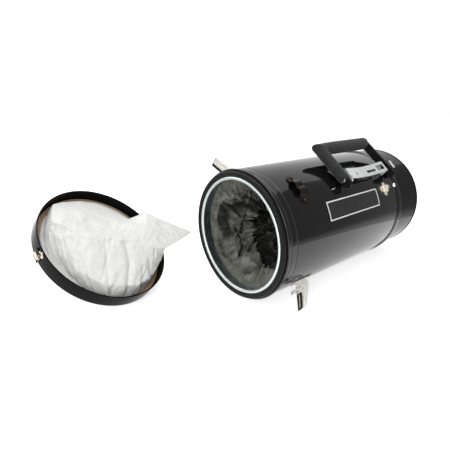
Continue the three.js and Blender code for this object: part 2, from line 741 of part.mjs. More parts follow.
// Bulkhead between the dust chamber and the motor, with its rubber seal
addToCanister("bulkhead", turned([
  [EYE_RADIUS, BULKHEAD_AT],
  [BULKHEAD_RADIUS, BULKHEAD_AT],
  [BULKHEAD_RADIUS, BULKHEAD_AT + BULKHEAD_FLANGE],
  [BULKHEAD_RADIUS - BULKHEAD_THICK, BULKHEAD_AT + BULKHEAD_FLANGE],
  [BULKHEAD_RADIUS - BULKHEAD_THICK, BULKHEAD_AT + BULKHEAD_THICK],
  [EYE_RADIUS, BULKHEAD_AT + BULKHEAD_THICK],
], FACETS_INNER), "steel");
addToCanister("bulkhead_seal", ring(
  BULKHEAD_RADIUS + GAP * 2,
  TUBE_INNER - GAP * 2,
  BULKHEAD_AT,
  BULKHEAD_AT + BULKHEAD_FLANGE,
), "rubber");

// Fan case, open to the rear
const CASE_AT = BULKHEAD_AT + BULKHEAD_THICK + GAP;
const CASE_END = CASE_AT + CASE_LENGTH;
addToCanister("fan_case", turned([
  [EYE_RADIUS, CASE_AT],
  [CASE_RADIUS, CASE_AT],
  [CASE_RADIUS, CASE_END],
  [CASE_RADIUS - CASE_WALL, CASE_END],
  [CASE_RADIUS - CASE_WALL, CASE_AT + CASE_WALL],
  [EYE_RADIUS, CASE_AT + CASE_WALL],
], FACETS_INNER), "aluminium");

// Curved vane from an inner to an outer radius, swept back by an angle.
function vane(inner, outer, sweep, thickness, from, height) {
  const left = [];
  const right = [];
  for (let i = 0; i <= VANE_STEPS; i += 1) {
    const share = i / VANE_STEPS;
    const radius = inner + (outer - inner) * share;
    const a = sweep * share * share * RAD;
    const half = thickness / 2 / radius;
    left.push([radius * Math.cos(a - half), radius * Math.sin(a - half)]);
    right.unshift([radius * Math.cos(a + half), radius * Math.sin(a + half)]);
  }
  return axial([...left, ...right], from, height);
}

function vanes(count, make) {
  return Array.from({ length: count }, (_, i) => make().rotateY((2 * Math.PI * i) / count));
}

// Closed impeller: front plate with an eye, curved vanes, back plate with a hub.
function impeller(at) {
  const front = ring(EYE_RADIUS, FAN_RADIUS, at, at + FAN_PLATE);
  const back = turned([
    [SHAFT_RADIUS + GAP, at + FAN_PLATE + FAN_DEPTH / 2],
    [FAN_HUB, at + FAN_PLATE + FAN_DEPTH / 2],
    [FAN_HUB, at + FAN_PLATE + FAN_DEPTH],
    [FAN_RADIUS, at + FAN_PLATE + FAN_DEPTH],
    [FAN_RADIUS, at + FAN_DEPTH + 2 * FAN_PLATE],
    [SHAFT_RADIUS + GAP, at + FAN_DEPTH + 2 * FAN_PLATE],
  ], FACETS_INNER);
  const blades = vanes(VANE_COUNT, () => vane(
    VANE_INNER,
    FAN_RADIUS - VANE_THICK,
    VANE_SWEEP_ANGLE,
    VANE_THICK,
    at + FAN_PLATE - VANE_BITE,
    FAN_DEPTH + 2 * VANE_BITE,
  ));
  return joined(front, back, ...blades);
}

addToCanister("impeller_front", impeller(FAN_FRONT_AT), "aluminium");
addToCanister("impeller_rear", impeller(FAN_REAR_AT), "aluminium");

// Stationary diffuser between the impellers
const diffuserPlate = ring(DIFFUSER_EYE, CASE_RADIUS - CASE_WALL - GAP, DIFFUSER_AT, DIFFUSER_AT + DIFFUSER_THICK);
const diffuserVanes = vanes(VANE_COUNT, () => vane(
  VANE_INNER,
  FAN_RADIUS,
  -VANE_SWEEP_ANGLE,
  VANE_THICK,
  DIFFUSER_AT + DIFFUSER_THICK - VANE_BITE,
  DIFFUSER_VANE,
));
addToCanister("diffuser", joined(diffuserPlate, ...diffuserVanes), "steel");

// Shaft, nut, rotor core and commutator
addToCanister("shaft", bar(SHAFT_RADIUS, SHAFT_START, SHAFT_END), "steel");
const nutOutline = arc([0, 0], NUT_RADIUS, 0, 300, 5);
addToCanister("shaft_nut", cut(
  axial(nutOutline, FAN_FRONT_AT + FAN_DEPTH / 2 + FAN_PLATE - GAP - NUT_THICK, NUT_THICK),
  bar(SHAFT_RADIUS + GAP, FAN_FRONT_AT, FAN_FRONT_AT + FAN_DEPTH),
), "steel");
const rotorOutline = [];
for (let i = 0; i < ROTOR_SLOTS; i += 1) {
  const pitch = 360 / ROTOR_SLOTS;
  const slot = pitch * ROTOR_SLOT_SHARE;
  rotorOutline.push(...arc([0, 0], ROTOR_RADIUS, i * pitch, (i + 1) * pitch - slot, 2));
  rotorOutline.push(...arc([0, 0], ROTOR_RADIUS - ROTOR_SLOT_DEPTH, (i + 1) * pitch - slot, (i + 1) * pitch, 1));
}
addToCanister("rotor_core", cut(
  axial(rotorOutline, STATOR_AT, STATOR_LENGTH),
  bar(SHAFT_RADIUS + GAP, STATOR_AT - STATOR_LENGTH, STATOR_AT + 2 * STATOR_LENGTH),
), "steel");
addToCanister("commutator", ring(
  SHAFT_RADIUS + GAP,
  COMMUTATOR_RADIUS,
  COMMUTATOR_AT,
  COMMUTATOR_AT + COMMUTATOR_LENGTH,
  FACETS_SMALL,
), "copper");

// Stator core: round back with flats, slots for the two field coils
const statorRound = ring(STATOR_BORE, STATOR_RADIUS, STATOR_AT, STATOR_AT + STATOR_LENGTH);
const statorFlats = block(2 * STATOR_FLAT, STATOR_LENGTH * 2, SPAN).translate(0, STATOR_AT, 0);
const coilSlots = [1, -1].flatMap((side) => [1, -1].map((hand) => block(
  COIL_DEPTH + 2 * GAP,
  STATOR_LENGTH * 2,
  STATOR_SLOT / 2,
).translate(side * (STATOR_BORE + COIL_DEPTH / 2 - 1.5 * VANE_THICK), STATOR_AT, hand * COIL_HALF)));
addToCanister("stator_core", cut(common(statorRound, statorFlats), ...coilSlots), "steel");

// Field coils: racetrack loops lying in the stator slots, their ends standing out of the core
function fieldCoil(side) {
  const outer = block(COIL_DEPTH, STATOR_LENGTH + 2 * COIL_OVERHANG, 2 * COIL_HALF + STATOR_SLOT / 2 - 2 * GAP);
  const hole = block(2 * COIL_DEPTH, STATOR_LENGTH + 2 * GAP, 2 * COIL_HALF - STATOR_SLOT / 2 + 2 * GAP);
  return cut(outer, hole).translate(
    side * (STATOR_BORE + COIL_DEPTH / 2 - 1.5 * VANE_THICK),
    STATOR_AT + STATOR_LENGTH / 2,
    0,
  );
}
addToCanister("field_coil_a", fieldCoil(1), "copper");
addToCanister("field_coil_b", fieldCoil(-1), "copper");

// Brushes on the commutator
[1, -1].forEach((side) => {
  addToCanister(side > 0 ? "brush_a" : "brush_b", block(BRUSH_LENGTH, BRUSH_SIDE, BRUSH_SIDE).translate(
    side * (COMMUTATOR_RADIUS + GAP + BRUSH_LENGTH / 2),
    COMMUTATOR_AT + COMMUTATOR_LENGTH / 2,
    0,
  ), "carbon");
});

// Front motor bracket closing the fan case, with the front bearing
const BRACKET_AT = CASE_END + GAP;
const HUB_RADIUS = BEARING_RADIUS + GAP + BEARING_WALL;
addToCanister("motor_bracket", turned([
  [SHAFT_RADIUS + 2 * BEARING_WALL / 2, BRACKET_AT],
  [CASE_RADIUS, BRACKET_AT],
  [CASE_RADIUS, BRACKET_AT + BRACKET_THICK],
  [HUB_RADIUS, BRACKET_AT + BRACKET_THICK],
  [HUB_RADIUS, BRACKET_AT + BRACKET_THICK + BEARING_WIDTH],
  [BEARING_RADIUS + GAP, BRACKET_AT + BRACKET_THICK + BEARING_WIDTH],
  [BEARING_RADIUS + GAP, BRACKET_AT + BRACKET_THICK],
  [SHAFT_RADIUS + 2 * BEARING_WALL / 2, BRACKET_AT + BRACKET_THICK],
], FACETS_INNER), "aluminium");
addToCanister("bearing_front", ring(
  SHAFT_RADIUS + GAP,
  BEARING_RADIUS,
  BRACKET_AT + BRACKET_THICK + GAP,
  BRACKET_AT + BRACKET_THICK + BEARING_WIDTH,
  FACETS_SMALL,
), "steel");

// Rear motor frame: a bridge on two arms holding the rear bearing and reaching back to the bracket
const frameHub = bar(HUB_RADIUS, FRAME_AT, FRAME_AT + BEARING_WIDTH + BEARING_WALL);
const frameBridge = block(2 * FRAME_REACH, FRAME_ARM_THICK, FRAME_ARM)
  .translate(0, FRAME_AT + FRAME_ARM_THICK, 0)
  .rotateY(Math.PI / 2);
const frameArmLength = FRAME_AT + FRAME_ARM_THICK - BRACKET_AT - BRACKET_THICK - GAP;
const frameArms = [1, -1].map((side) => block(FRAME_ARM, frameArmLength, FRAME_ARM_THICK).translate(
  0,
  BRACKET_AT + BRACKET_THICK + GAP + frameArmLength / 2,
  side * (FRAME_REACH - FRAME_ARM_THICK / 2),
));
const bearingSeat = bar(BEARING_RADIUS + GAP, FRAME_AT - BEARING_WALL, FRAME_AT + BEARING_WIDTH);
const shaftHole = bar(SHAFT_RADIUS + BEARING_WALL, FRAME_AT, FRAME_AT + 3 * BEARING_WIDTH);
addToCanister("motor_frame", cut(joined(frameHub, frameBridge, ...frameArms), bearingSeat, shaftHole), "aluminium");
addToCanister("bearing_rear", ring(
  SHAFT_RADIUS + GAP,
  BEARING_RADIUS,
  FRAME_AT,
  FRAME_AT + BEARING_WIDTH - GAP,
  FACETS_SMALL,
), "steel");

// Draw latches: base with two ears, lever with its pin, and the draw hook hinged on the lever
const BASE_UNDER = TUBE_RADIUS + GAP;
const PIVOT_RADIUS = TUBE_RADIUS + LATCH_PIVOT;

function latchBase() {
  const foot = block(LATCH_WIDTH, LATCH_BASE_FRONT + LATCH_BASE_REAR, LATCH_BASE_THICK).translate(
    0,
    LATCH_AT + (LATCH_BASE_REAR - LATCH_BASE_FRONT) / 2,
    BASE_UNDER + LATCH_BASE_THICK / 2,
  );
  const earProfile = [
    [LATCH_AT - 2 * LATCH_EAR_RADIUS, BASE_UNDER],
    [LATCH_AT + 2 * LATCH_EAR_RADIUS, BASE_UNDER],
    [LATCH_AT + 2 * LATCH_EAR_RADIUS, BASE_UNDER + LATCH_BASE_THICK],
    ...arc([LATCH_AT, PIVOT_RADIUS], LATCH_EAR_RADIUS, 0, 180, 8),
    [LATCH_AT - 2 * LATCH_EAR_RADIUS, BASE_UNDER + LATCH_BASE_THICK],
  ];
  const ears = [1, -1].map((side) => sideways(earProfile, LATCH_EAR_THICK)
    .translate(side * (LATCH_EAR_HALF - LATCH_EAR_THICK / 2), 0, 0));
  const hole = bar(LATCH_PIN_RADIUS + GAP, -LATCH_WIDTH, LATCH_WIDTH, FACETS_SCREW)
    .rotateZ(-Math.PI / 2)
    .translate(0, LATCH_AT, PIVOT_RADIUS);
  return cut(joined(foot, ...ears), hole);
}

// Lever drawn pointing rearward along Y from its pivot, its web outward, then swung open.
function latchLever(lean) {
  const side = [
    ...arc([0, 0], LATCH_EYE, 180, 270, 5),
    [LEVER_MID, -LEVER_TIP_DEPTH],
    [LEVER_LENGTH - LATCH_SHEET, LEVER_TIP_DEPTH],
    [LEVER_LENGTH, LEVER_HEEL_DEPTH - LEVER_TIP_CURL],
    [LEVER_LENGTH - LATCH_SHEET, LEVER_HEEL_DEPTH],
    ...arc([0, 0], LATCH_EYE, 80, 150, 4),
  ];
  const hollow = block(LATCH_WIDTH - 2 * LATCH_SHEET, LEVER_LENGTH - LATCH_SHEET + LATCH_WIDTH, LATCH_WIDTH)
    .translate(0, (LEVER_LENGTH - 2 * LATCH_SHEET - LATCH_WIDTH) / 2, LEVER_HEEL_DEPTH - LATCH_SHEET - LATCH_WIDTH / 2);
  const window = block(LATCH_WIDTH - 2 * LATCH_SHEET, LEVER_WEB_START + LATCH_WIDTH, LATCH_WIDTH)
    .translate(0, (LEVER_WEB_START - LATCH_WIDTH) / 2, 0);
  const stubs = [1, -1].map((side) => bar(
    LATCH_PIN_RADIUS,
    LATCH_EAR_HALF - LATCH_EAR_THICK - GAP,
    LATCH_WIDTH / 2,
    FACETS_SCREW,
  ).rotateZ(-side * Math.PI / 2));
  const hookPin = bar(HOOK_PIN, -LATCH_WIDTH / 2, LATCH_WIDTH / 2, FACETS_SCREW)
    .rotateZ(-Math.PI / 2)
    .translate(0, HOOK_ON_LEVER, 0);
  return joined(cut(sideways(side, LATCH_WIDTH), hollow, window), ...stubs, hookPin)
    .rotateX((90 + lean) * RAD)
    .translate(0, LATCH_AT, PIVOT_RADIUS);
}

function latchHook(lean) {
  const y = LATCH_AT - HOOK_ON_LEVER * Math.sin(lean * RAD);
  const z = PIVOT_RADIUS + HOOK_ON_LEVER * Math.cos(lean * RAD);
  const front = y - HOOK_REACH;
  const low = z - HOOK_DROP;
  const profile = [
    ...arc([y, z], HOOK_EYE, -100, 100, 8),
    [front + HOOK_LIP, low + HOOK_SHEET],
    [front + HOOK_SHEET, low + HOOK_LIP],
    [front, low + HOOK_LIP - HOOK_SHEET / 2],
    [front + HOOK_SHEET, low],
    [front + HOOK_LIP, low - HOOK_SHEET / 2],
  ];
  const hole = bar(HOOK_PIN + GAP, -LATCH_WIDTH, LATCH_WIDTH, FACETS_SCREW)
    .rotateZ(-Math.PI / 2)
    .translate(0, y, z);
  return cut(sideways(profile, HOOK_WIDTH), hole);
}

Object.entries(LATCH_ANGLES).forEach(([name, angle]) => {
  addToCanister(`latch_base_${name}`, atAngle(latchBase(), angle), "nickel");
  addToCanister(`latch_lever_${name}`, atAngle(latchLever(LEVER_LEAN_ANGLES[name]), angle), "nickel");
  addToCanister(`latch_hook_${name}`, atAngle(latchHook(LEVER_LEAN_ANGLES[name]), angle), "nickel");
});

// Folding handle, drawn with X along the canister and Y up its legs
const foldDirection = new THREE.Vector3(Math.cos(FOLD_ANGLE * RAD), 0, Math.sin(FOLD_ANGLE * RAD));
const alongCanister = new THREE.Vector3(0, 1, 0);
const handleBasis = new THREE.Matrix4().makeBasis(
  alongCanister,
  foldDirection,
  new THREE.Vector3().crossVectors(alongCanister, foldDirection),
);

function onHinge(geometry) {
  return geometry.applyMatrix4(handleBasis).translate(
    HINGE_RADIUS * Math.cos(HANDLE_ANGLE * RAD),
    0,
    HINGE_RADIUS * Math.sin(HANDLE_ANGLE * RAD),
  );
}

const leanShare = BAIL_LEAN / BAIL_REACH;
const bailPath = [
  [BAIL_FRONT + BAIL_TAIL * leanShare, -BAIL_TAIL],
  [BAIL_FRONT - BAIL_LEAN, BAIL_REACH],
  [BAIL_REAR - BAIL_LEAN, BAIL_REACH],
  [BAIL_REAR + BAIL_TAIL * leanShare, -BAIL_TAIL],
];
function strapSection(extra) {
  const [t, w] = [BAIL_THICK / 2 + extra, BAIL_WIDTH / 2 + extra];
  return [[-t, -w], [t, -w], [t, w], [-t, w]];
}
const hingeHole = (radius, from, to) => bar(radius, from, to, FACETS_SMALL).rotateZ(-Math.PI / 2);
// Rounded ends for both feet, seen along the hinge.
const footRound = plate([
  [BAIL_REACH + GRIP_RADIUS, -BAIL_WIDTH],
  [BAIL_REACH + GRIP_RADIUS, BAIL_WIDTH],
  [BAIL_REACH - BAIL_WIDTH, BAIL_WIDTH],
  [BAIL_REACH - BAIL_WIDTH, BAIL_WIDTH / 2],
  ...arc([BAIL_WIDTH / 2 - BAIL_TAIL, 0], BAIL_WIDTH / 2, 90, 270, 12),
  [BAIL_REACH - BAIL_WIDTH, -BAIL_WIDTH / 2],
  [BAIL_REACH - BAIL_WIDTH, -BAIL_WIDTH],
], 2 * SPAN).applyMatrix4(new THREE.Matrix4().makeBasis(
  new THREE.Vector3(0, 1, 0),
  new THREE.Vector3(0, 0, 1),
  new THREE.Vector3(1, 0, 0),
));
const bail = cut(
  common(outward(mitred(bailPath, strapSection(0))), footRound),
  hingeHole(PIN_RADIUS + GAP, 0, SPAN),
);
addToCanister("handle_bail", onHinge(bail), "enamel");

const gripPath = [
  [BAIL_FRONT + GRIP_TAIL * leanShare, -GRIP_TAIL],
  [BAIL_FRONT - BAIL_LEAN, BAIL_REACH],
  [BAIL_REAR - BAIL_LEAN - GRIP_END_BACK, BAIL_REACH],
];
const gripSection = Array.from({ length: GRIP_FACETS }, (_, i) => {
  const a = (2 * Math.PI * (i + 1 / 2)) / GRIP_FACETS;
  return [Math.cos(a), Math.sin(a)];
});
const grip = cut(
  outward(mitred(gripPath, gripSection, [GRIP_LEG_RADIUS, GRIP_MITRE_RADIUS, GRIP_RADIUS])),
  outward(mitred(bailPath, strapSection(GAP))),
  hingeHole(GRIP_POCKET, BAIL_FRONT - PIN_HEAD_STAND - PIN_HEAD_THICK - GAP, BAIL_FRONT + 2 * GRIP_LEG_RADIUS),
);
addToCanister("handle_grip", onHinge(grip), "rubber");

// Hinge posts on the tube
const hingeDown = HINGE_RADIUS - TUBE_RADIUS - GAP;
function hingePost(at, thickness) {
  const boss = bar(POST_EAR, at, at + thickness);
  const web = block(POST_WEB, thickness, hingeDown).translate(0, at + thickness / 2, -hingeDown / 2);
  const foot = block(2 * POST_FOOT_HALF, thickness, POST_FOOT_THICK)
    .translate(0, at + thickness / 2, POST_FOOT_THICK / 2 - hingeDown);
  const hole = bar(PIN_RADIUS + GAP, at - thickness, at + 2 * thickness);
  return atAngle(cut(joined(boss, web, foot), hole).translate(0, 0, HINGE_RADIUS), HANDLE_ANGLE);
}
addToCanister("handle_post_front", hingePost(POST_FRONT_AT, POST_FRONT_THICK), "nickel");
addToCanister("handle_post_rear", hingePost(POST_REAR_AT, POST_REAR_THICK), "nickel");

// Hinge pins, headed in front of the bail's legs and riveted in the posts
function hingePin(legAt, postEnd) {
  const head = legAt - PIN_HEAD_STAND - PIN_HEAD_THICK;
  const flange = bar(PIN_HEAD, head, head + PIN_HEAD_THICK);
  return atAngle(joined(flange, bar(PIN_RADIUS, head, postEnd)).translate(0, 0, HINGE_RADIUS), HANDLE_ANGLE);
}
addToCanister("handle_pin_front", hingePin(BAIL_FRONT, POST_FRONT_AT + POST_FRONT_THICK), "steel");
addToCanister("handle_pin_rear", hingePin(BAIL_REAR, POST_REAR_AT + POST_REAR_THICK), "steel");

// Stay beside the posts: ends turned down to the tube, a dipped strap with two windows and a slot
const STAY_FRONT = POST_FRONT_AT + POST_FRONT_THICK + GAP;
const STAY_REAR = STAY_FRONT + STAY_LENGTH;
const stayFoot = TUBE_RADIUS + GAP;
const stayTop = (share) => TUBE_RADIUS + STAY_STAND - STAY_DIP * Math.sin(Math.PI * share);
const staySteps = [0, 0.12, 0.3, 0.5, 0.7, 0.88, 1];
const stayProfile = [
  [STAY_FRONT, stayFoot],
  [STAY_FRONT + STAY_THICK, stayFoot],
  [STAY_FRONT + STAY_THICK, stayTop(0) - STAY_THICK],
  ...staySteps.slice(1, -1).map((s) => [STAY_FRONT + STAY_LENGTH * s, stayTop(s) - STAY_THICK]),
  [STAY_REAR - STAY_THICK, stayTop(1) - STAY_THICK],
  [STAY_REAR - STAY_THICK, stayFoot],
  [STAY_REAR, stayFoot],
  [STAY_REAR, stayTop(1)],
  ...staySteps.slice(1, -1).reverse().map((s) => [STAY_FRONT + STAY_LENGTH * s, stayTop(s)]),
  [STAY_FRONT, stayTop(0)],
];
function stayWindow(width, length, rearEnd, offset) {
  return block(width, length, 2 * STAY_STAND).translate(offset, rearEnd - length / 2, TUBE_RADIUS + 2 * STAY_STAND - STAY_DIP - 2 * STAY_THICK);
}
const longWindowEnd = STAY_REAR - STAY_WINDOW_EDGE - STAY_REAR_WINDOW_LENGTH - STAY_WINDOW_BAR;
const slotEnd = longWindowEnd - STAY_LONG_WINDOW_LENGTH - STAY_SLOT_BAR;
const stay = cut(
  sideways(stayProfile, STAY_WIDTH),
  stayWindow(STAY_REAR_WINDOW, STAY_REAR_WINDOW_LENGTH, STAY_REAR - STAY_WINDOW_EDGE, 0),
  stayWindow(STAY_LONG_WINDOW, STAY_LONG_WINDOW_LENGTH, longWindowEnd, STAY_WINDOW_OFFSET),
  stayWindow(STAY_LONG_WINDOW, STAY_SLOT_LENGTH, slotEnd, STAY_WINDOW_OFFSET),
);
addToCanister("handle_stay", atAngle(stay, STAY_ANGLE), "nickel");

// Strap loop: curved feet with a raised wavy bridge
const polar = (radius, degrees) => [radius * Math.sin(degrees * RAD), radius * Math.cos(degrees * RAD)];
const loopUnder = TUBE_RADIUS + GAP;
const loopOuter = [
  polar(loopUnder + LOOP_THICK, -LOOP_EDGE_ANGLE),
  polar(loopUnder + LOOP_THICK, -LOOP_FOOT_ANGLE),
  polar(loopUnder + LOOP_RISE, -LOOP_BRIDGE_ANGLE),
  polar(loopUnder + LOOP_RISE + LOOP_WAVE, -LOOP_BRIDGE_ANGLE / 2),
  polar(loopUnder + LOOP_RISE - LOOP_WAVE, 0),
  polar(loopUnder + LOOP_RISE + LOOP_WAVE, LOOP_BRIDGE_ANGLE / 2),
  polar(loopUnder + LOOP_RISE, LOOP_BRIDGE_ANGLE),
  polar(loopUnder + LOOP_THICK, LOOP_FOOT_ANGLE),
  polar(loopUnder + LOOP_THICK, LOOP_EDGE_ANGLE),
];
const loopInner = [
  polar(loopUnder, LOOP_EDGE_ANGLE),
  polar(loopUnder, LOOP_FOOT_ANGLE * 0.9),
  polar(loopUnder + LOOP_RISE - LOOP_THICK, LOOP_BRIDGE_ANGLE * 0.9),
  polar(loopUnder + LOOP_RISE + LOOP_WAVE - LOOP_THICK, LOOP_BRIDGE_ANGLE / 2),
  polar(loopUnder + LOOP_RISE - LOOP_WAVE - LOOP_THICK, 0),
  polar(loopUnder + LOOP_RISE + LOOP_WAVE - LOOP_THICK, -LOOP_BRIDGE_ANGLE / 2),
  polar(loopUnder + LOOP_RISE - LOOP_THICK, -LOOP_BRIDGE_ANGLE * 0.9),
  polar(loopUnder, -LOOP_FOOT_ANGLE * 0.9),
  polar(loopUnder, -LOOP_EDGE_ANGLE),
];
const loopHalf = polar(TUBE_RADIUS, LOOP_EDGE_ANGLE)[0];
const loopPlan = plate([
  ...arc([loopHalf - LOOP_WIDTH / 2, 0], LOOP_WIDTH / 2 + GAP, -90, 90, 8),
  ...arc([LOOP_WIDTH / 2 - loopHalf, 0], LOOP_WIDTH / 2 + GAP, 90, 270, 8),
], 2 * SPAN);
const loopHoles = [1, -1].map((side) => bar(LOOP_SCREW_SHANK + GAP, 0, SPAN, FACETS_SCREW)
  .rotateX(Math.PI / 2)
  .rotateY(side * LOOP_SCREW_ANGLE * RAD));
const loop = cut(common(axial([...loopOuter, ...loopInner], -LOOP_WIDTH / 2, LOOP_WIDTH), loopPlan), ...loopHoles);
addToCanister("strap_loop", atAngle(loop.translate(0, LOOP_AT, 0), LOOP_ANGLE), "dark_nickel");
[1, -1].forEach((side) => {
  const seat = loopUnder + LOOP_THICK + GAP;
  const screw = turned([
    [0, loopUnder],
    [LOOP_SCREW_SHANK, loopUnder],
    [LOOP_SCREW_SHANK, seat],
    [LOOP_SCREW_HEAD, seat],
    [LOOP_SCREW_HEAD * 0.6, seat + LOOP_SCREW_HIGH],
    [0, seat + LOOP_SCREW_HIGH],
  ], FACETS_SCREW).rotateX(Math.PI / 2).rotateY(side * LOOP_SCREW_ANGLE * RAD).translate(0, LOOP_AT, 0);
  addToCanister(side > 0 ? "loop_screw_a" : "loop_screw_b", atAngle(screw, LOOP_ANGLE), "dark_nickel");
});

// Label plate, bare
const labelSweep = (radius, from, to) => arc([0, 0], radius, from, to, LABEL_STEPS);
addToCanister("label_plate", axial([
  ...labelSweep(TUBE_RADIUS + GAP + LABEL_THICK, LABEL_FROM_ANGLE, LABEL_TO_ANGLE),
  ...labelSweep(TUBE_RADIUS + GAP, LABEL_TO_ANGLE, LABEL_FROM_ANGLE),
], LABEL_AT, LABEL_LENGTH), "plastic");

// Rear catch and its ball stud
const catchTop = TUBE_RADIUS + GAP + CATCH_THICK;
const catchPlate = block(CATCH_WIDTH, CATCH_LENGTH, CATCH_THICK)
  .translate(0, CATCH_AT + CATCH_LENGTH / 2, catchTop - CATCH_THICK / 2);
const catchLobe = bar(CATCH_LOBE_RADIUS, catchTop - CATCH_THICK, catchTop + CATCH_LOBE_HIGH)
  .rotateX(Math.PI / 2)
  .translate(0, CATCH_AT + CATCH_LENGTH - CATCH_LOBE_RADIUS - CATCH_THICK, 0);
const catchStep = block(CATCH_WIDTH - 2 * CATCH_THICK, CATCH_STEP_LENGTH, CATCH_STEP_HIGH + CATCH_THICK)
  .translate(0, CATCH_AT + CATCH_THICK + CATCH_STEP_LENGTH / 2, catchTop + (CATCH_STEP_HIGH - CATCH_THICK) / 2);
addToCanister("rear_catch", atAngle(joined(catchPlate, catchLobe, catchStep), CATCH_ANGLE), "nickel");
const ballSteps = arc([0, TUBE_RADIUS + BALL_STAND], BALL_RADIUS, -56, 60, 6);
addToCanister("rear_ball", atAngle(turned([
  [0, TUBE_RADIUS + GAP],
  [BALL_STEM, TUBE_RADIUS + GAP],
  ...ballSteps,
  [0, TUBE_RADIUS + BALL_STAND + BALL_RADIUS],
], FACETS_SCREW).rotateX(Math.PI / 2).translate(0, BALL_AT, 0), BALL_ANGLE), "nickel");

// Front cap. Its own frame: mouth at zero, X across, Y uphill, Z out of the mouth.
const capProfile = [
  [CAP_RADIUS - CAP_CHAMFER, -CAP_DEPTH],
  [CAP_RADIUS, CAP_CHAMFER - CAP_DEPTH],
  [CAP_RADIUS, -CAP_RIM_ROLL / 2],
  [CAP_RADIUS - CAP_RIM_ROLL / 2, 0],
  [CAP_RADIUS - CAP_WALL, 0],
  [CAP_RADIUS - CAP_WALL, CAP_WALL - CAP_DEPTH],
  [NECK_RADIUS + GAP, CAP_WALL - CAP_DEPTH],
  [NECK_RADIUS + GAP, -CAP_DEPTH],
];
const [tiltSin, tiltCos] = [Math.sin(CAP_TILT_ANGLE * RAD), Math.cos(CAP_TILT_ANGLE * RAD)];
const [leanSin, leanCos] = [Math.sin(CAP_LEAN_ANGLE * RAD), Math.cos(CAP_LEAN_ANGLE * RAD)];
const CAP_HEIGHT = Math.max(...capProfile.map(([r, k]) => r * tiltSin - k * tiltCos));
const capBasis = new THREE.Matrix4().makeBasis(
  new THREE.Vector3(-leanSin, leanCos, 0),
  new THREE.Vector3(-tiltCos * leanCos, -tiltCos * leanSin, tiltSin),
  new THREE.Vector3(tiltSin * leanCos, tiltSin * leanSin, tiltCos),
);

// Adds a piece drawn in the cap's frame.
function addToCap(name, geometry, finish) {
  return add(name, geometry.applyMatrix4(capBasis).translate(CAP_X, CAP_Y, CAP_HEIGHT), finish);
}

function capTurned(profile, facets) {
  return turned(profile, facets).rotateX(Math.PI / 2);
}

addToCap("cap_shell", capTurned(capProfile), "enamel");
const CAP_FLOOR = CAP_WALL - CAP_DEPTH;
const SEAL_AT = CAP_FLOOR + GAP;
addToCap("cap_gasket", capTurned([
  [CAP_SEAL_OUTER, SEAL_AT],
  [CAP_SEAL_OUTER, SEAL_AT + CAP_SEAL_THICK - CAP_SEAL_ROUND],
  [CAP_SEAL_OUTER - CAP_SEAL_ROUND, SEAL_AT + CAP_SEAL_THICK],
  [CAP_SEAL_INNER + CAP_SEAL_ROUND, SEAL_AT + CAP_SEAL_THICK],
  [CAP_SEAL_INNER, SEAL_AT],
], FACETS_SHELL), "felt");

// Keepers on the cap's band for the two hooks
KEEPER_ANGLES.forEach((angle, i) => {
  const under = CAP_RADIUS + GAP;
  const low = CAP_CHAMFER - CAP_DEPTH + GAP;
  const profile = [
    [low, under],
    [low + KEEPER_HIGH, under],
    [low + KEEPER_HIGH, under + KEEPER_THICK],
    [low + KEEPER_HIGH / 2 + KEEPER_LIP_THICK, under + KEEPER_THICK],
    [low + KEEPER_HIGH / 2, under + KEEPER_THICK + KEEPER_LIP],
    [low + KEEPER_HIGH / 2 - KEEPER_LIP_THICK, under + KEEPER_THICK + KEEPER_LIP],
    [low + KEEPER_HIGH / 2 - KEEPER_LIP_THICK, under + KEEPER_THICK],
    [low, under + KEEPER_THICK],
  ];
  const keeper = sideways(profile, KEEPER_WIDTH).rotateX(Math.PI / 2).rotateZ((angle - 270) * RAD);
  addToCap(i === 0 ? "cap_keeper_a" : "cap_keeper_b", keeper, "nickel");
});

// Hose neck: outer tube resting on the floor, flange on the cap's back, spigot inside
const NECK_END = (NECK_RADIUS * tiltSin - CAP_HEIGHT) / tiltCos;
addToCap("hose_neck", capTurned([
  [NECK_RADIUS, NECK_END],
  [NECK_RADIUS, -CAP_DEPTH - GAP - NECK_FLANGE_THICK],
  [NECK_FLANGE, -CAP_DEPTH - GAP - NECK_FLANGE_THICK],
  [NECK_FLANGE, -CAP_DEPTH - GAP],
  [NECK_RADIUS, -CAP_DEPTH - GAP],
  [NECK_RADIUS, CAP_FLOOR],
  [SPIGOT_RADIUS, CAP_FLOOR],
  [SPIGOT_RADIUS, CAP_FLOOR + SPIGOT_STAND - NECK_ROUND],
  [SPIGOT_RADIUS - NECK_ROUND, CAP_FLOOR + SPIGOT_STAND],
  [NECK_BORE, CAP_FLOOR + SPIGOT_STAND],
  [NECK_BORE, NECK_END],
], FACETS_INNER), "enamel");

// Bag card and paper bag
const cardHalf = CARD_SIDE / 2;
const CARD_AT = CAP_FLOOR + GAP;
const CARD_TOP = CARD_AT + CARD_THICK;
const card = plate([
  [-cardHalf, -cardHalf],
  [cardHalf, -cardHalf],
  [cardHalf, cardHalf],
  [-cardHalf, cardHalf],
], CARD_THICK).translate(0, 0, CARD_AT + CARD_THICK / 2);
const cardHole = bar(SPIGOT_RADIUS + GAP, -CAP_DEPTH, 0, FACETS_INNER).rotateX(Math.PI / 2);
addToCap("bag_card", cut(card, cardHole), "paper");

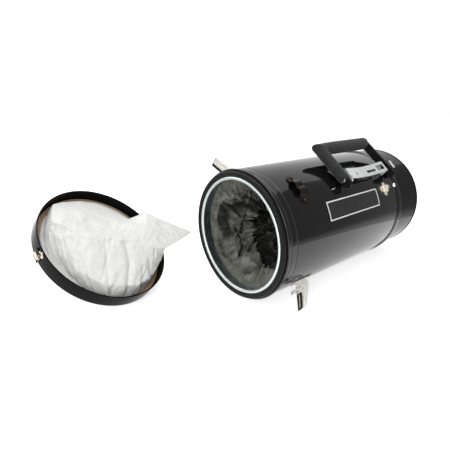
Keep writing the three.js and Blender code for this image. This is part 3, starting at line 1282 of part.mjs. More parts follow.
const bagFloor = CARD_TOP + GAP;
const bagRing = (radius, level) => Array.from({ length: BAG_FLOOR_POINTS }, (_, i) => {
  const a = (2 * Math.PI * i) / BAG_FLOOR_POINTS;
  return new THREE.Vector3(radius * Math.cos(a), radius * Math.sin(a), level);
});
const sharePoint = ([x, y, z]) => new THREE.Vector3(x * CAP_RADIUS, y * CAP_RADIUS, z * CAP_RADIUS);
const bagBody = new ConvexGeometry([
  ...bagRing(BAG_FLOOR_RADIUS, bagFloor),
  ...bagRing(BAG_BELLY_RADIUS, bagFloor + BAG_BELLY_UP),
  ...BAG_TOP_SHARES.map(sharePoint),
]);
const bagFlap = new ConvexGeometry(FLAP_SHARES.flatMap((share) => {
  const top = sharePoint(share);
  return [top, top.clone().add(new THREE.Vector3(0, 0, -FLAP_THICK))];
}));
const bagPocket = bar(BAG_POCKET, -CAP_DEPTH, BAG_POCKET_DEPTH - CAP_DEPTH, FACETS_SMALL).rotateX(Math.PI / 2);
addToCap("paper_bag", cut(joined(bagBody, bagFlap), bagPocket), "paper");

// Centres the whole over the origin, standing on the floor.
const bounds = new THREE.Box3().setFromObject(part);
const centre = bounds.getCenter(new THREE.Vector3());
part.children.forEach((mesh) => mesh.geometry.translate(-centre.x, -centre.y, -bounds.min.z));

export default part;
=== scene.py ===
"""Small canister dust collector on its side, with its front cap and paper bag set down beside it.

Lengths are in millimetres until a piece is placed, when they become metres. Stations along the
canister are counted rearward from the gasket's front plane, angles round it from the label's side
over the top. The cap has a frame of its own: across, uphill, and out of its mouth.
"""

from __future__ import annotations

import json
import logging
import math
from dataclasses import dataclass, field
from enum import Enum
from typing import Callable, Iterable, Sequence

import bmesh
import bpy
from mathutils import Matrix, Vector, noise

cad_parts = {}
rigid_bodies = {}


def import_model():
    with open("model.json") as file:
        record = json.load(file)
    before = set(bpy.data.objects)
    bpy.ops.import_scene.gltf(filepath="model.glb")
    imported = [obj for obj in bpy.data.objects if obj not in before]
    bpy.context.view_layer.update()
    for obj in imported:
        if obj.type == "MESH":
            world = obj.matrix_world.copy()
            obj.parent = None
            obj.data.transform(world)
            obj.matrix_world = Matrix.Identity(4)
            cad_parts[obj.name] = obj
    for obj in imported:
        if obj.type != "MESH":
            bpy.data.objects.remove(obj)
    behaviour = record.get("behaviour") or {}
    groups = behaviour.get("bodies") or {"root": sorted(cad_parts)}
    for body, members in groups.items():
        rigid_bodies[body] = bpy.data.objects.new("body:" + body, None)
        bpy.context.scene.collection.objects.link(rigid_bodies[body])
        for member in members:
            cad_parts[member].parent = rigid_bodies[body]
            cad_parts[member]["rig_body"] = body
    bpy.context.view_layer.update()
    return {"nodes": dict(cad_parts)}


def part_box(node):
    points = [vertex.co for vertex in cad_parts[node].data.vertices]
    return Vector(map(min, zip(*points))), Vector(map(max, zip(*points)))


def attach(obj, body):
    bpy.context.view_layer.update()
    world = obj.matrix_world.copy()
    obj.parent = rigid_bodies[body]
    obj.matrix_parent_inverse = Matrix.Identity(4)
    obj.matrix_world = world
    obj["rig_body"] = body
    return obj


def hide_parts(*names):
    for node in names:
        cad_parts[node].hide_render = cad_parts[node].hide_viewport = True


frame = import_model()
LOG = logging.getLogger("canister")
MM = 0.001
Point = tuple[float, float]
Spot = tuple[float, float, float]
Colour = tuple[float, float, float]


# Finishes


class Grain(Enum):
    """Fine structure that a finish lays over its colour."""

    PLAIN = "plain"
    BRUSHED = "brushed"
    WOVEN = "woven"
    FIBROUS = "fibrous"
    CELLULAR = "cellular"
    SPANGLED = "spangled"


@dataclass(frozen=True)
class Finish:
    """One surface finish, made once as a node material.

    The colour drifts between two shades, the roughness between two values, and the grain gives
    the bump. Sizes of the pattern are features per metre.
    """

    name: str
    slot: str
    colour: Colour
    shade: Colour
    rough: Point
    metallic: float = 0.0
    coat: float = 0.0
    coat_rough: float = 0.06
    sheen: float = 0.0
    # Attribute holding random tone and painted shade, which darkens the colour; empty for none.
    tone_and_shade: str = ""
    drift: float = 40.0
    grain: Grain = Grain.PLAIN
    fine: float = 900.0
    relief: float = 0.1
    depth: float = 0.0002
    specular: float = 0.5

    def material(self) -> bpy.types.Material:
        """Returns the finish's material, building it the first time."""
        known = bpy.data.materials.get(self.name)
        return known if known else self._build()

    def _build(self) -> bpy.types.Material:
        """Builds the node tree: drifting colour and roughness, then grain as bump."""
        material = bpy.data.materials.new(self.name)
        material.use_nodes = True
        tree = material.node_tree
        shader = next(n for n in tree.nodes if n.type == "BSDF_PRINCIPLED")
        shader.inputs["Metallic"].default_value = self.metallic
        shader.inputs["Coat Weight"].default_value = self.coat
        shader.inputs["Coat Roughness"].default_value = self.coat_rough
        shader.inputs["Sheen Weight"].default_value = self.sheen
        shader.inputs["Specular IOR Level"].default_value = self.specular
        place = tree.nodes.new("ShaderNodeTexCoord").outputs["Object"]
        drift = self._noise(tree, place, self.drift, 4.0)
        mix = tree.nodes.new("ShaderNodeMix")
        mix.data_type = "RGBA"
        mix.inputs["A"].default_value = (*self.colour, 1.0)
        mix.inputs["B"].default_value = (*self.shade, 1.0)
        tree.links.new(drift, mix.inputs["Factor"])
        # Random tone and painted shade from the attribute, where the finish names one.
        colour = self._toned_and_shaded(tree, mix.outputs["Result"]) if self.tone_and_shade else mix.outputs["Result"]
        tree.links.new(colour, shader.inputs["Base Color"])
        spread = tree.nodes.new("ShaderNodeMapRange")
        spread.inputs["From Min"].default_value = 0.3
        spread.inputs["From Max"].default_value = 0.7
        spread.inputs["To Min"].default_value = self.rough[0]
        spread.inputs["To Max"].default_value = self.rough[1]
        tree.links.new(self._noise(tree, place, self.drift * 3.0, 6.0), spread.inputs["Value"])
        tree.links.new(spread.outputs["Result"], shader.inputs["Roughness"])
        bump = tree.nodes.new("ShaderNodeBump")
        bump.inputs["Strength"].default_value = self.relief
        bump.inputs["Distance"].default_value = self.depth
        tree.links.new(self._grain(tree, place), bump.inputs["Height"])
        tree.links.new(bump.outputs["Normal"], shader.inputs["Normal"])
        return material

    @staticmethod
    def _noise(
        tree: bpy.types.NodeTree, place: bpy.types.NodeSocket, scale: float, detail: float
    ) -> bpy.types.NodeSocket:
        """Adds a noise texture.

        Args:
            tree: The material's node tree.
            place: The coordinates it reads.
            scale: Features per metre.
            detail: Octaves of detail.

        Returns:
            The texture's value output.
        """
        node = tree.nodes.new("ShaderNodeTexNoise")
        node.inputs["Scale"].default_value = scale
        node.inputs["Detail"].default_value = detail
        tree.links.new(place, node.inputs["Vector"])
        return node.outputs["Fac"]

    def _toned_and_shaded(self, tree: bpy.types.NodeTree, clean: bpy.types.NodeSocket) -> bpy.types.NodeSocket:
        """Darkens a colour where the surface's tone-and-shade attribute is high: random tone, and painted shade in
        creases and deep folds.

        Args:
            tree: The material's node tree.
            clean: The colour without tone and painted shade.

        Returns:
            The colour with its tone and painted shade.
        """
        tone_and_shade = tree.nodes.new("ShaderNodeAttribute")
        tone_and_shade.attribute_name = self.tone_and_shade
        ramp = tree.nodes.new("ShaderNodeValToRGB")
        ramp.color_ramp.elements[1].color = (0.02, 0.019, 0.018, 1.0)
        ramp.color_ramp.elements[0].color = (1.0, 1.0, 1.0, 1.0)
        ramp.color_ramp.elements.new(0.4).color = (0.5, 0.5, 0.5, 1.0)
        ramp.color_ramp.elements.new(0.72).color = (0.11, 0.11, 0.11, 1.0)
        tree.links.new(tone_and_shade.outputs["Fac"], ramp.inputs["Fac"])
        mix = tree.nodes.new("ShaderNodeMix")
        mix.data_type = "RGBA"
        mix.blend_type = "MULTIPLY"
        mix.inputs["Factor"].default_value = 1.0
        tree.links.new(clean, mix.inputs["A"])
        tree.links.new(ramp.outputs["Color"], mix.inputs["B"])
        return mix.outputs["Result"]

    def _grain(self, tree: bpy.types.NodeTree, place: bpy.types.NodeSocket) -> bpy.types.NodeSocket:
        """Adds the height pattern of the finish's grain and returns its output."""
        if self.grain in (Grain.CELLULAR, Grain.SPANGLED):
            cells = tree.nodes.new("ShaderNodeTexVoronoi")
            cells.inputs["Scale"].default_value = self.fine
            tree.links.new(place, cells.inputs["Vector"])
            return cells.outputs["Distance"]
        if self.grain is Grain.BRUSHED:
            stretch = tree.nodes.new("ShaderNodeMapping")
            stretch.inputs["Scale"].default_value = (1.0, 0.03, 1.0)
            tree.links.new(place, stretch.inputs["Vector"])
            return self._noise(tree, stretch.outputs["Vector"], self.fine, 3.0)
        if self.grain is Grain.WOVEN:
            return self._weave(tree)
        if self.grain is Grain.FIBROUS:
            return self._noise(tree, place, self.fine, 12.0)
        return self._noise(tree, place, self.fine, 2.0)

    def _weave(self, tree: bpy.types.NodeTree) -> bpy.types.NodeSocket:
        """Adds crossing threads along the piece's own cloth coordinates and returns their height."""
        flat = tree.nodes.new("ShaderNodeUVMap")
        flat.uv_map = "cloth"
        threads = []
        for axis in ("X", "Y"):
            wave = tree.nodes.new("ShaderNodeTexWave")
            wave.bands_direction = axis
            wave.inputs["Scale"].default_value = self.fine
            wave.inputs["Distortion"].default_value = 0.4
            tree.links.new(flat.outputs["UV"], wave.inputs["Vector"])
            threads.append(wave.outputs["Fac"])
        over = tree.nodes.new("ShaderNodeMath")
        over.operation = "MULTIPLY"
        tree.links.new(threads[0], over.inputs[0])
        tree.links.new(threads[1], over.inputs[1])
        return over.outputs["Value"]


ENAMEL = Finish(
    "stove_enamel_black", "enamel", (0.0032, 0.0032, 0.0036), (0.0052, 0.0052, 0.0058), (0.05, 0.1),
    drift=9.0, fine=300.0, relief=0.02, depth=0.0003,
)
REAR_ENAMEL = Finish(
    "stove_enamel_rear", "enamel", (0.0038, 0.0036, 0.0038), (0.006, 0.0057, 0.0057), (0.1, 0.18),
    drift=14.0, fine=500.0, relief=0.03, depth=0.0003, specular=0.16,
)
SATIN_ENAMEL = Finish(
    "stove_enamel_satin", "enamel", (0.0065, 0.0066, 0.007), (0.0095, 0.0096, 0.01), (0.26, 0.38),
    drift=14.0, fine=700.0, relief=0.05, depth=0.0003, specular=0.2,
)
RUBBER = Finish(
    "moulded_rubber", "rubber", (0.006, 0.006, 0.0065), (0.0105, 0.0105, 0.011), (0.34, 0.5),
    drift=60.0, fine=1600.0, relief=0.14, specular=0.14,
)
FOAM = Finish(
    "foam_grip", "foam", (0.0125, 0.0129, 0.0139), (0.0198, 0.0205, 0.0218), (0.72, 0.9),
    drift=70.0, grain=Grain.CELLULAR, fine=1300.0, relief=0.35, depth=0.0003, specular=0.3, sheen=0.15,
)
GALVANISED = Finish(
    "galvanised_sheet", "galvanised", (0.36, 0.43, 0.44), (0.25, 0.31, 0.33), (0.16, 0.28),
    metallic=0.9, drift=45.0, grain=Grain.SPANGLED, fine=160.0, relief=0.04,
)
BRIGHT_BEAD = Finish(
    "bright_bead", "galvanised", (0.74, 0.81, 0.79), (0.64, 0.71, 0.69), (0.28, 0.38),
    metallic=0.8, drift=60.0, grain=Grain.BRUSHED, fine=900.0, relief=0.04,
)
# The cloth's attribute holds random tone and painted shade in its creases and deep folds.
CLOTH = Finish(
    "filter_cloth", "cloth", (0.17, 0.168, 0.145), (0.4, 0.4, 0.35), (0.85, 0.97),
    drift=26.0, grain=Grain.WOVEN, fine=700.0, relief=0.5, depth=0.0004, specular=0.15, sheen=0.2,
    tone_and_shade="tone_and_shade",
)
PAPER = Finish(
    "filter_paper", "paper", (0.86, 0.86, 0.845), (0.79, 0.79, 0.775), (0.82, 0.95),
    drift=38.0, grain=Grain.FIBROUS, fine=520.0, relief=0.3, depth=0.0005, specular=0.2, sheen=0.1,
)
CARD = Finish(
    "bag_card", "card", (0.6, 0.5, 0.36), (0.5, 0.41, 0.29), (0.8, 0.92),
    drift=90.0, grain=Grain.FIBROUS, fine=900.0, relief=0.25, specular=0.2,
)
SEAL = Finish(
    "sealing_ring", "felt", (0.56, 0.4, 0.26), (0.38, 0.25, 0.14), (0.5, 0.7),
    drift=18.0, grain=Grain.FIBROUS, fine=800.0, relief=0.3, specular=0.35,
)
CAP_ENAMEL = Finish(
    "stove_enamel_cap", "enamel", (0.0045, 0.0047, 0.005), (0.007, 0.0072, 0.0076), (0.1, 0.18),
    drift=12.0, fine=400.0, relief=0.03, depth=0.0003, specular=0.05,
)
MOULDED = Finish(
    "moulded_plastic", "plastic", (0.012, 0.012, 0.013), (0.02, 0.02, 0.021), (0.36, 0.5),
    drift=30.0, fine=2200.0, relief=0.12,
)
LABEL = Finish(
    "label_black", "plastic", (0.016, 0.016, 0.017), (0.024, 0.024, 0.025), (0.22, 0.32),
    drift=20.0, fine=900.0, relief=0.03,
)
LABEL_EDGE = Finish(
    "label_edge_white", "plastic", (0.82, 0.83, 0.83), (0.74, 0.75, 0.75), (0.3, 0.4),
    drift=60.0, fine=900.0, relief=0.03,
)
NICKEL = Finish(
    "nickel_plate", "nickel", (0.99, 0.97, 0.94), (0.93, 0.9, 0.85), (0.2, 0.32),
    metallic=0.25, drift=70.0, grain=Grain.BRUSHED, fine=1500.0, relief=0.05,
)
CHROME = Finish(
    "bright_chrome", "nickel", (0.84, 0.85, 0.85), (0.74, 0.75, 0.75), (0.05, 0.14),
    metallic=1.0, drift=50.0, grain=Grain.BRUSHED, fine=1500.0, relief=0.03,
)
ZINC = Finish(
    "bright_zinc", "nickel", (0.86, 0.87, 0.87), (0.74, 0.75, 0.75), (0.28, 0.4),
    metallic=0.5, drift=60.0, grain=Grain.BRUSHED, fine=1400.0, relief=0.05,
)
BRONZED = Finish(
    "bronzed_nickel", "dark_nickel", (0.034, 0.022, 0.016), (0.014, 0.01, 0.009), (0.22, 0.36),
    metallic=0.7, drift=120.0, fine=900.0, relief=0.1,
)
# Painted shade and dark reflection for the latch levers' hollows, front patches and tips.
LEVER_SHADE = Finish(
    "lever_painted_shade", "dark_nickel", (0.02, 0.013, 0.009), (0.008, 0.006, 0.005), (0.3, 0.5),
    drift=150.0, fine=900.0, relief=0.1, specular=0.2,
)
CAST = Finish(
    "cast_nickel", "nickel", (0.74, 0.68, 0.59), (0.48, 0.41, 0.33), (0.2, 0.34),
    metallic=0.8, drift=140.0, fine=1100.0, relief=0.12,
)
STEEL = Finish(
    "machined_steel", "steel", (0.42, 0.42, 0.43), (0.3, 0.3, 0.31), (0.25, 0.4),
    metallic=1.0, drift=60.0, grain=Grain.BRUSHED, fine=1400.0, relief=0.08,
)
ALUMINIUM = Finish(
    "cast_aluminium", "aluminium", (0.56, 0.57, 0.58), (0.44, 0.45, 0.46), (0.32, 0.5),
    metallic=1.0, drift=50.0, fine=1100.0, relief=0.15,
)
COPPER = Finish(
    "copper_winding", "copper", (0.5, 0.2, 0.09), (0.32, 0.12, 0.05), (0.25, 0.4),
    metallic=1.0, drift=80.0, grain=Grain.BRUSHED, fine=1800.0, relief=0.4,
)
CARBON = Finish(
    "pressed_carbon", "carbon", (0.02, 0.02, 0.02), (0.035, 0.035, 0.035), (0.6, 0.8),
    drift=200.0, fine=1800.0, relief=0.2,
)


# Placing and shaping


@dataclass(frozen=True)
class Places:
    """Frames that the pieces are placed in, all giving metres from millimetres."""

    mouth: Vector
    cap_offset: Point = (-138.4, -135.5)
    cap_height: float = 81.933
    cap_tilt: float = 40.96
    cap_lean_to: float = 25.88

    @classmethod
    def read(cls) -> "Places":
        """Reads the canister's mouth from the frame's gasket."""
        low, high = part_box("mouth_gasket")
        return cls(Vector(((low.x + high.x) / 2, low.y, (low.z + high.z) / 2)))

    def canister(self) -> Matrix:
        """Returns the frame on the canister's axis at the mouth, Y running rearward."""
        return Matrix.Translation(self.mouth) @ Matrix.Scale(MM, 4)

    def radial(self, degrees: float) -> Matrix:
        """Returns the canister's frame turned so that Z points outward at an angle round it."""
        a = math.radians(degrees)
        turn = Matrix((
            (math.sin(a), 0.0, math.cos(a)),
            (0.0, 1.0, 0.0),
            (-math.cos(a), 0.0, math.sin(a)),
        )).to_4x4()
        return self.canister() @ turn

    def hinge(self, degrees: float, radius: float, fold: float) -> Matrix:
        """Returns the handle's frame: X along the canister, Y up the legs.

        Args:
            degrees: Angle of the hinge line round the canister.
            radius: Distance of the hinge line from the axis.
            fold: Direction of the legs across the canister, in degrees.
        """
        a, f = math.radians(degrees), math.radians(fold)
        up = Vector((math.cos(f), 0.0, math.sin(f)))
        along = Vector((0.0, 1.0, 0.0))
        turn = Matrix((along, up, along.cross(up))).transposed().to_4x4()
        shift = Matrix.Translation((radius * math.cos(a), 0.0, radius * math.sin(a)))
        return self.canister() @ shift @ turn

    def cap(self) -> Matrix:
        """Returns the cap's frame: mouth plane at zero, X across, Y uphill, Z out of the mouth."""
        t, d = math.radians(self.cap_tilt), math.radians(self.cap_lean_to)
        turn = Matrix((
            (-math.sin(d), math.cos(d), 0.0),
            (-math.cos(t) * math.cos(d), -math.cos(t) * math.sin(d), math.sin(t)),
            (math.sin(t) * math.cos(d), math.sin(t) * math.sin(d), math.cos(t)),
        )).transposed().to_4x4()
        spot = Vector((
            self.mouth.x + self.cap_offset[0] * MM,
            self.mouth.y + self.cap_offset[1] * MM,
            self.cap_height * MM,
        ))
        return Matrix.Translation(spot) @ turn @ Matrix.Scale(MM, 4)


AXIS_TO_CAP = Matrix.Rotation(math.pi / 2, 4, "X")


def rounded(corners: Sequence[tuple[float, float, float]], steps: int = 5) -> list[Point]:
    """Rounds the corners of a closed outline.

    Args:
        corners: Outline corners with the radius that each is rounded to.
        steps: Segments in each rounding.

    Returns:
        The outline's points.
    """
    points: list[Point] = []
    count = len(corners)
    for i, (x, y, radius) in enumerate(corners):
        here = Vector((x, y))
        if radius <= 0:
            points.append((x, y))
            continue
        before = (Vector(corners[i - 1][:2]) - here).normalized()
        after = (Vector(corners[(i + 1) % count][:2]) - here).normalized()
        half = before.angle(after) / 2
        reach = radius / math.tan(half)
        centre = here + (before + after).normalized() * (radius / math.sin(half))
        start, end = here + before * reach - centre, here + after * reach - centre
        sweep = start.angle_signed(end)
        for k in range(steps + 1):
            spoke = start.copy()
            spoke.rotate(Matrix.Rotation(-sweep * k / steps, 2))
            points.append(tuple(centre + spoke))
    return points


def turned(profile: Sequence[Point], steps: int = 192, closed: bool = True) -> bmesh.types.BMesh:
    """Spins a profile of radius and station round the canister's axis.

    Args:
        profile: Radius and station of each point.
        steps: Segments round the axis.
        closed: Whether the profile's last point joins its first.

    Returns:
        The spun shape.
    """
    bm = bmesh.new()
    verts = [bm.verts.new((r, y, 0.0)) for r, y in profile]
    edges = [bm.edges.new(pair) for pair in zip(verts, verts[1:])]
    if closed:
        edges.append(bm.edges.new((verts[-1], verts[0])))
    bmesh.ops.spin(
        bm, geom=verts + edges, cent=(0, 0, 0), axis=(0, 1, 0), angle=2 * math.pi,
        steps=steps, use_merge=True, use_duplicate=False,
    )
    bmesh.ops.remove_doubles(bm, verts=bm.verts, dist=0.001)
    bmesh.ops.recalc_face_normals(bm, faces=bm.faces)
    return bm


def slab(outline: Sequence[Point], thick: float) -> bmesh.types.BMesh:
    """Extrudes a flat outline to a slab centred on its own plane.

    Args:
        outline: Corners in X and Y.
        thick: Thickness along Z.

    Returns:
        The slab.
    """
    bm = bmesh.new()
    base = bm.faces.new([bm.verts.new((x, y, -thick / 2)) for x, y in outline])
    out = bmesh.ops.extrude_face_region(bm, geom=[base])
    top = [v for v in out["geom"] if isinstance(v, bmesh.types.BMVert)]
    bmesh.ops.translate(bm, verts=top, vec=(0, 0, thick))
    bmesh.ops.recalc_face_normals(bm, faces=bm.faces)
    return bm


def box(size: Vector, centre: Vector) -> bmesh.types.BMesh:
    """Makes a block of a size round a centre."""
    bm = bmesh.new()
    bmesh.ops.create_cube(bm, size=1.0, matrix=Matrix.Translation(centre) @ Matrix.Diagonal((*size, 1.0)))
    return bm


def smooth(share: float) -> float:
    """Eases a share, kept between zero and one, in and out."""
    share = min(max(share, 0.0), 1.0)
    return share * share * (3.0 - 2.0 * share)


def rod(radius: float, length: float, place: Matrix, sides: int = 48) -> bmesh.types.BMesh:
    """Makes a round bar along Z of a frame, centred on it."""
    bm = bmesh.new()
    bmesh.ops.create_cone(
        bm, cap_ends=True, cap_tris=False, segments=sides, radius1=radius, radius2=radius,
        depth=length, matrix=place,
    )
    return bm


def swept(section: Sequence[Point], stations: Sequence[Matrix]) -> bmesh.types.BMesh:
    """Carries a closed section from frame to frame and caps both ends.

    Args:
        section: Section corners in the frames' X and Y.
        stations: Frames along the path.

    Returns:
        The swept shape.
    """
    bm = bmesh.new()
    corners = [Vector((x, y, 0.0)) for x, y in section]
    ring = [bm.verts.new(stations[0] @ c) for c in corners]
    first = bm.faces.new(ring)
    edges = list(first.edges)
    for station in stations[1:]:
        out = bmesh.ops.extrude_edge_only(bm, edges=edges)
        fresh = [v for v in out["geom"] if isinstance(v, bmesh.types.BMVert)]
        edges = [e for e in out["geom"] if isinstance(e, bmesh.types.BMEdge)]
        origins = {v: min(range(len(ring)), key=lambda i: (ring[i].co - v.co).length) for v in fresh}
        ordered = sorted(fresh, key=lambda v: origins[v])
        for vert, corner in zip(ordered, corners):
            vert.co = station @ corner
        ring = ordered
        edges = [e for e in edges if e.verts[0] in origins and e.verts[1] in origins]
    bm.faces.new(ring)
    bmesh.ops.recalc_face_normals(bm, faces=bm.faces)
    return bm


class Bench:
    """Finishes shapes as pieces of the scene."""

    @staticmethod
    def piece(
        name: str,
        bm: bmesh.types.BMesh,
        place: Matrix,
        finish: Finish,
        body: str,
        nodes: Iterable[str] = (),
        bevel: float = 0.0,
        crease: float = 35.0,
        cutters: Sequence[bmesh.types.BMesh] = (),
        second: Finish | None = None,
    ) -> bpy.types.Object:
        """Makes an object of a shape, dresses it and lets it ride on a body.

        Args:
            name: The piece's name.
            bm: The shape, in millimetres in its own frame. It is freed.
            place: The frame, giving metres.
            finish: The piece's finish.
            body: The frame's body that it rides on.
            nodes: The CAD nodes that it stands for.
            bevel: Width of its edge rounding in millimetres.
            crease: Angle past which an edge stays sharp.
            cutters: Shapes taken out of it, in the same frame. They are freed.
            second: Finish of the faces that carry the second material index.

        Returns:
            The finished object.
        """
        bm.transform(place)
        mesh = bpy.data.meshes.new(name)
        bm.to_mesh(mesh)
        bm.free()
        thing = bpy.data.objects.new(name, mesh)
        bpy.context.scene.collection.objects.link(thing)
        for cutter in cutters:
            Bench._carve(thing, cutter, place)
        which = [face.material_index for face in thing.data.polygons]
        thing.data.materials.clear()
        thing.data.materials.append(finish.material())
        if second:
            thing.data.materials.append(second.material())
            thing.data.polygons.foreach_set("material_index", which)
        thing.data.shade_smooth()
        thing.data.set_sharp_from_angle(angle=math.radians(crease))
        if bevel > 0:
            edge = thing.modifiers.new("edge", "BEVEL")
            edge.width = bevel * MM
            edge.segments = 2
            edge.limit_method = "ANGLE"
            edge.angle_limit = math.radians(40.0)
            edge.harden_normals = True
        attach(thing, body)
        if nodes:
            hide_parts(*nodes)
        LOG.info("%s: %d faces on %s", name, len(thing.data.polygons), body)
        return thing

    @staticmethod
    def _carve(thing: bpy.types.Object, cutter: bmesh.types.BMesh, place: Matrix) -> None:
        """Takes a shape out of an object, both in the same frame."""
        cutter.transform(place)
        mesh = bpy.data.meshes.new("cutter")
        cutter.to_mesh(mesh)
        cutter.free()
        tool = bpy.data.objects.new("cutter", mesh)
        bpy.context.scene.collection.objects.link(tool)
        carve = thing.modifiers.new("carve", "BOOLEAN")
        carve.object = tool
        carve.operation = "DIFFERENCE"
        carve.solver = "EXACT"
        bpy.context.view_layer.update()
        shaped = thing.evaluated_get(bpy.context.evaluated_depsgraph_get())
        result = bpy.data.meshes.new_from_object(shaped)
        thing.modifiers.clear()
        thing.data = result
        bpy.data.objects.remove(tool)

    @staticmethod
    def refined(
        node: str,
        finish: Finish,
        bevel: float = 0.3,
        reshape: Callable[[bmesh.types.BMesh], None] | None = None,
        second: Finish | None = None,
    ) -> bpy.types.Object:
        """Makes a softened copy of a CAD node that stands for it.

        Args:
            node: The node's name.
            finish: The copy's finish.
            bevel: Width of its edge rounding in millimetres.
            reshape: Work done on the copy before it is finished.
            second: Finish of the faces that the reshaping picks out.

        Returns:
            The copy.
        """
        source = frame["nodes"][node]
        bm = bmesh.new()
        bm.from_mesh(source.data)
        bmesh.ops.remove_doubles(bm, verts=bm.verts, dist=1e-6)
        bmesh.ops.dissolve_limit(
            bm, angle_limit=math.radians(1.0), verts=bm.verts, edges=bm.edges, delimit=set(),
        )
        if reshape:
            reshape(bm)
        return Bench.piece(
            f"{node}_dressed", bm, Matrix.Identity(4), finish, source["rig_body"], [node], bevel, second=second,
        )

    @staticmethod
    def dress(node: str, finish: Finish) -> None:
        """Gives a CAD node that stays its finish."""
        mesh = frame["nodes"][node].data
        mesh.materials.clear()
        mesh.materials.append(finish.material())


def merged(shapes: Sequence[bmesh.types.BMesh]) -> bmesh.types.BMesh:
    """Puts several shapes into the first one and frees the others."""
    whole = shapes[0]
    for shape in shapes[1:]:
        mesh = bpy.data.meshes.new("part")
        shape.to_mesh(mesh)
        shape.free()
        whole.from_mesh(mesh)
        bpy.data.meshes.remove(mesh)
    return whole


# The canister


@dataclass
class Canister:
    """Main tube, rear band and rear cap."""

    places: Places
    tube_radius: float = 95.0
    tube_inner: float = 93.6
    hem_radius: float = 96.2
    hem_front: float = 6.0
    hem_rear: float = 9.2
    tube_rear: float = 277.0
    grooves: tuple[float, float] = (13.0, 24.0)
    band_front: float = 278.3
    band_rear: float = 295.9
    wall_radius: float = 93.2
    end_radius: float = 91.8
    rim_radius: float = 92.6
    rear: float = 358.2
    face: float = 352.2

    def build(self) -> None:
        """Builds the three shells."""
        self._tube()
        self._band()
        self._rear_cap()

    def _tube(self) -> None:
        """Rolled tube with a curled hem and two swaged lines behind it."""
        r, profile = self.tube_radius, []
        profile += [(self.hem_radius, self.hem_front, 1.2), (self.hem_radius, self.hem_rear, 1.2), (r, self.hem_rear + 0.6, 0.5)]
        for at in self.grooves:
            profile += [(r, at - 0.9, 0.4), (r - 0.7, at, 0.35), (r, at + 0.9, 0.4)]
        profile += [(r, self.tube_rear, 0.6), (self.tube_inner, self.tube_rear, 0.2), (self.tube_inner, self.hem_front, 0.6)]
        Bench.piece(
            "canister_tube", turned(rounded(profile), 256), self.places.canister(), ENAMEL, "canister", ["main_tube"],
        )

    def _band(self) -> None:
        """Crowned band that covers the seam."""
        inner = self.wall_radius + 0.3
        outline = rounded([
            (self.hem_radius - 1.6, self.band_front, 1.2),
            (self.hem_radius, self.band_front + 4.0, 4.0),
            (self.hem_radius, self.band_rear - 4.0, 4.0),
            (inner + 0.9, self.band_rear, 0.5),
            (inner, self.band_rear, 0.2),
            (inner, self.band_front, 0.2),
        ])
        Bench.piece("seam_band", turned(outline, 256), self.places.canister(), ENAMEL, "canister", ["rear_band"])

    def _rear_cap(self) -> None:
        """Drawn rear cap with a rolled rim and a recessed face."""
        wall = 1.4
        outline = rounded([
            (self.wall_radius, 262.0, 0.3),
            (self.wall_radius, 297.0, 0.0),
            (self.end_radius, self.rear - 4.4, 1.0),
            (self.rim_radius, self.rear - 3.4, 0.8),
            (self.rim_radius, self.rear, 1.2),
            (89.8, self.rear, 1.0),
            (89.8, self.face, 1.6),
            (60.0, self.face, 0.0),
            (57.5, self.face + 1.2, 1.2),
            (34.0, self.face + 1.2, 1.2),
            (31.5, self.face, 0.0),
            (19.7, self.face, 0.3),
            (19.7, self.face - wall, 0.0),
            (self.end_radius - wall, self.face - wall, 0.0),
            (self.wall_radius - wall, 297.0, 0.0),
            (self.wall_radius - wall, 262.0, 0.3),
        ])
        hole = box(Vector((16.0, 8.0, 23.0)), Vector((0.0, self.face, 62.0)))
        Bench.piece(
            "rear_cap_shell", turned(outline, 256), self.places.canister(), REAR_ENAMEL, "canister", ["rear_cap"],
            cutters=[hole],
        )


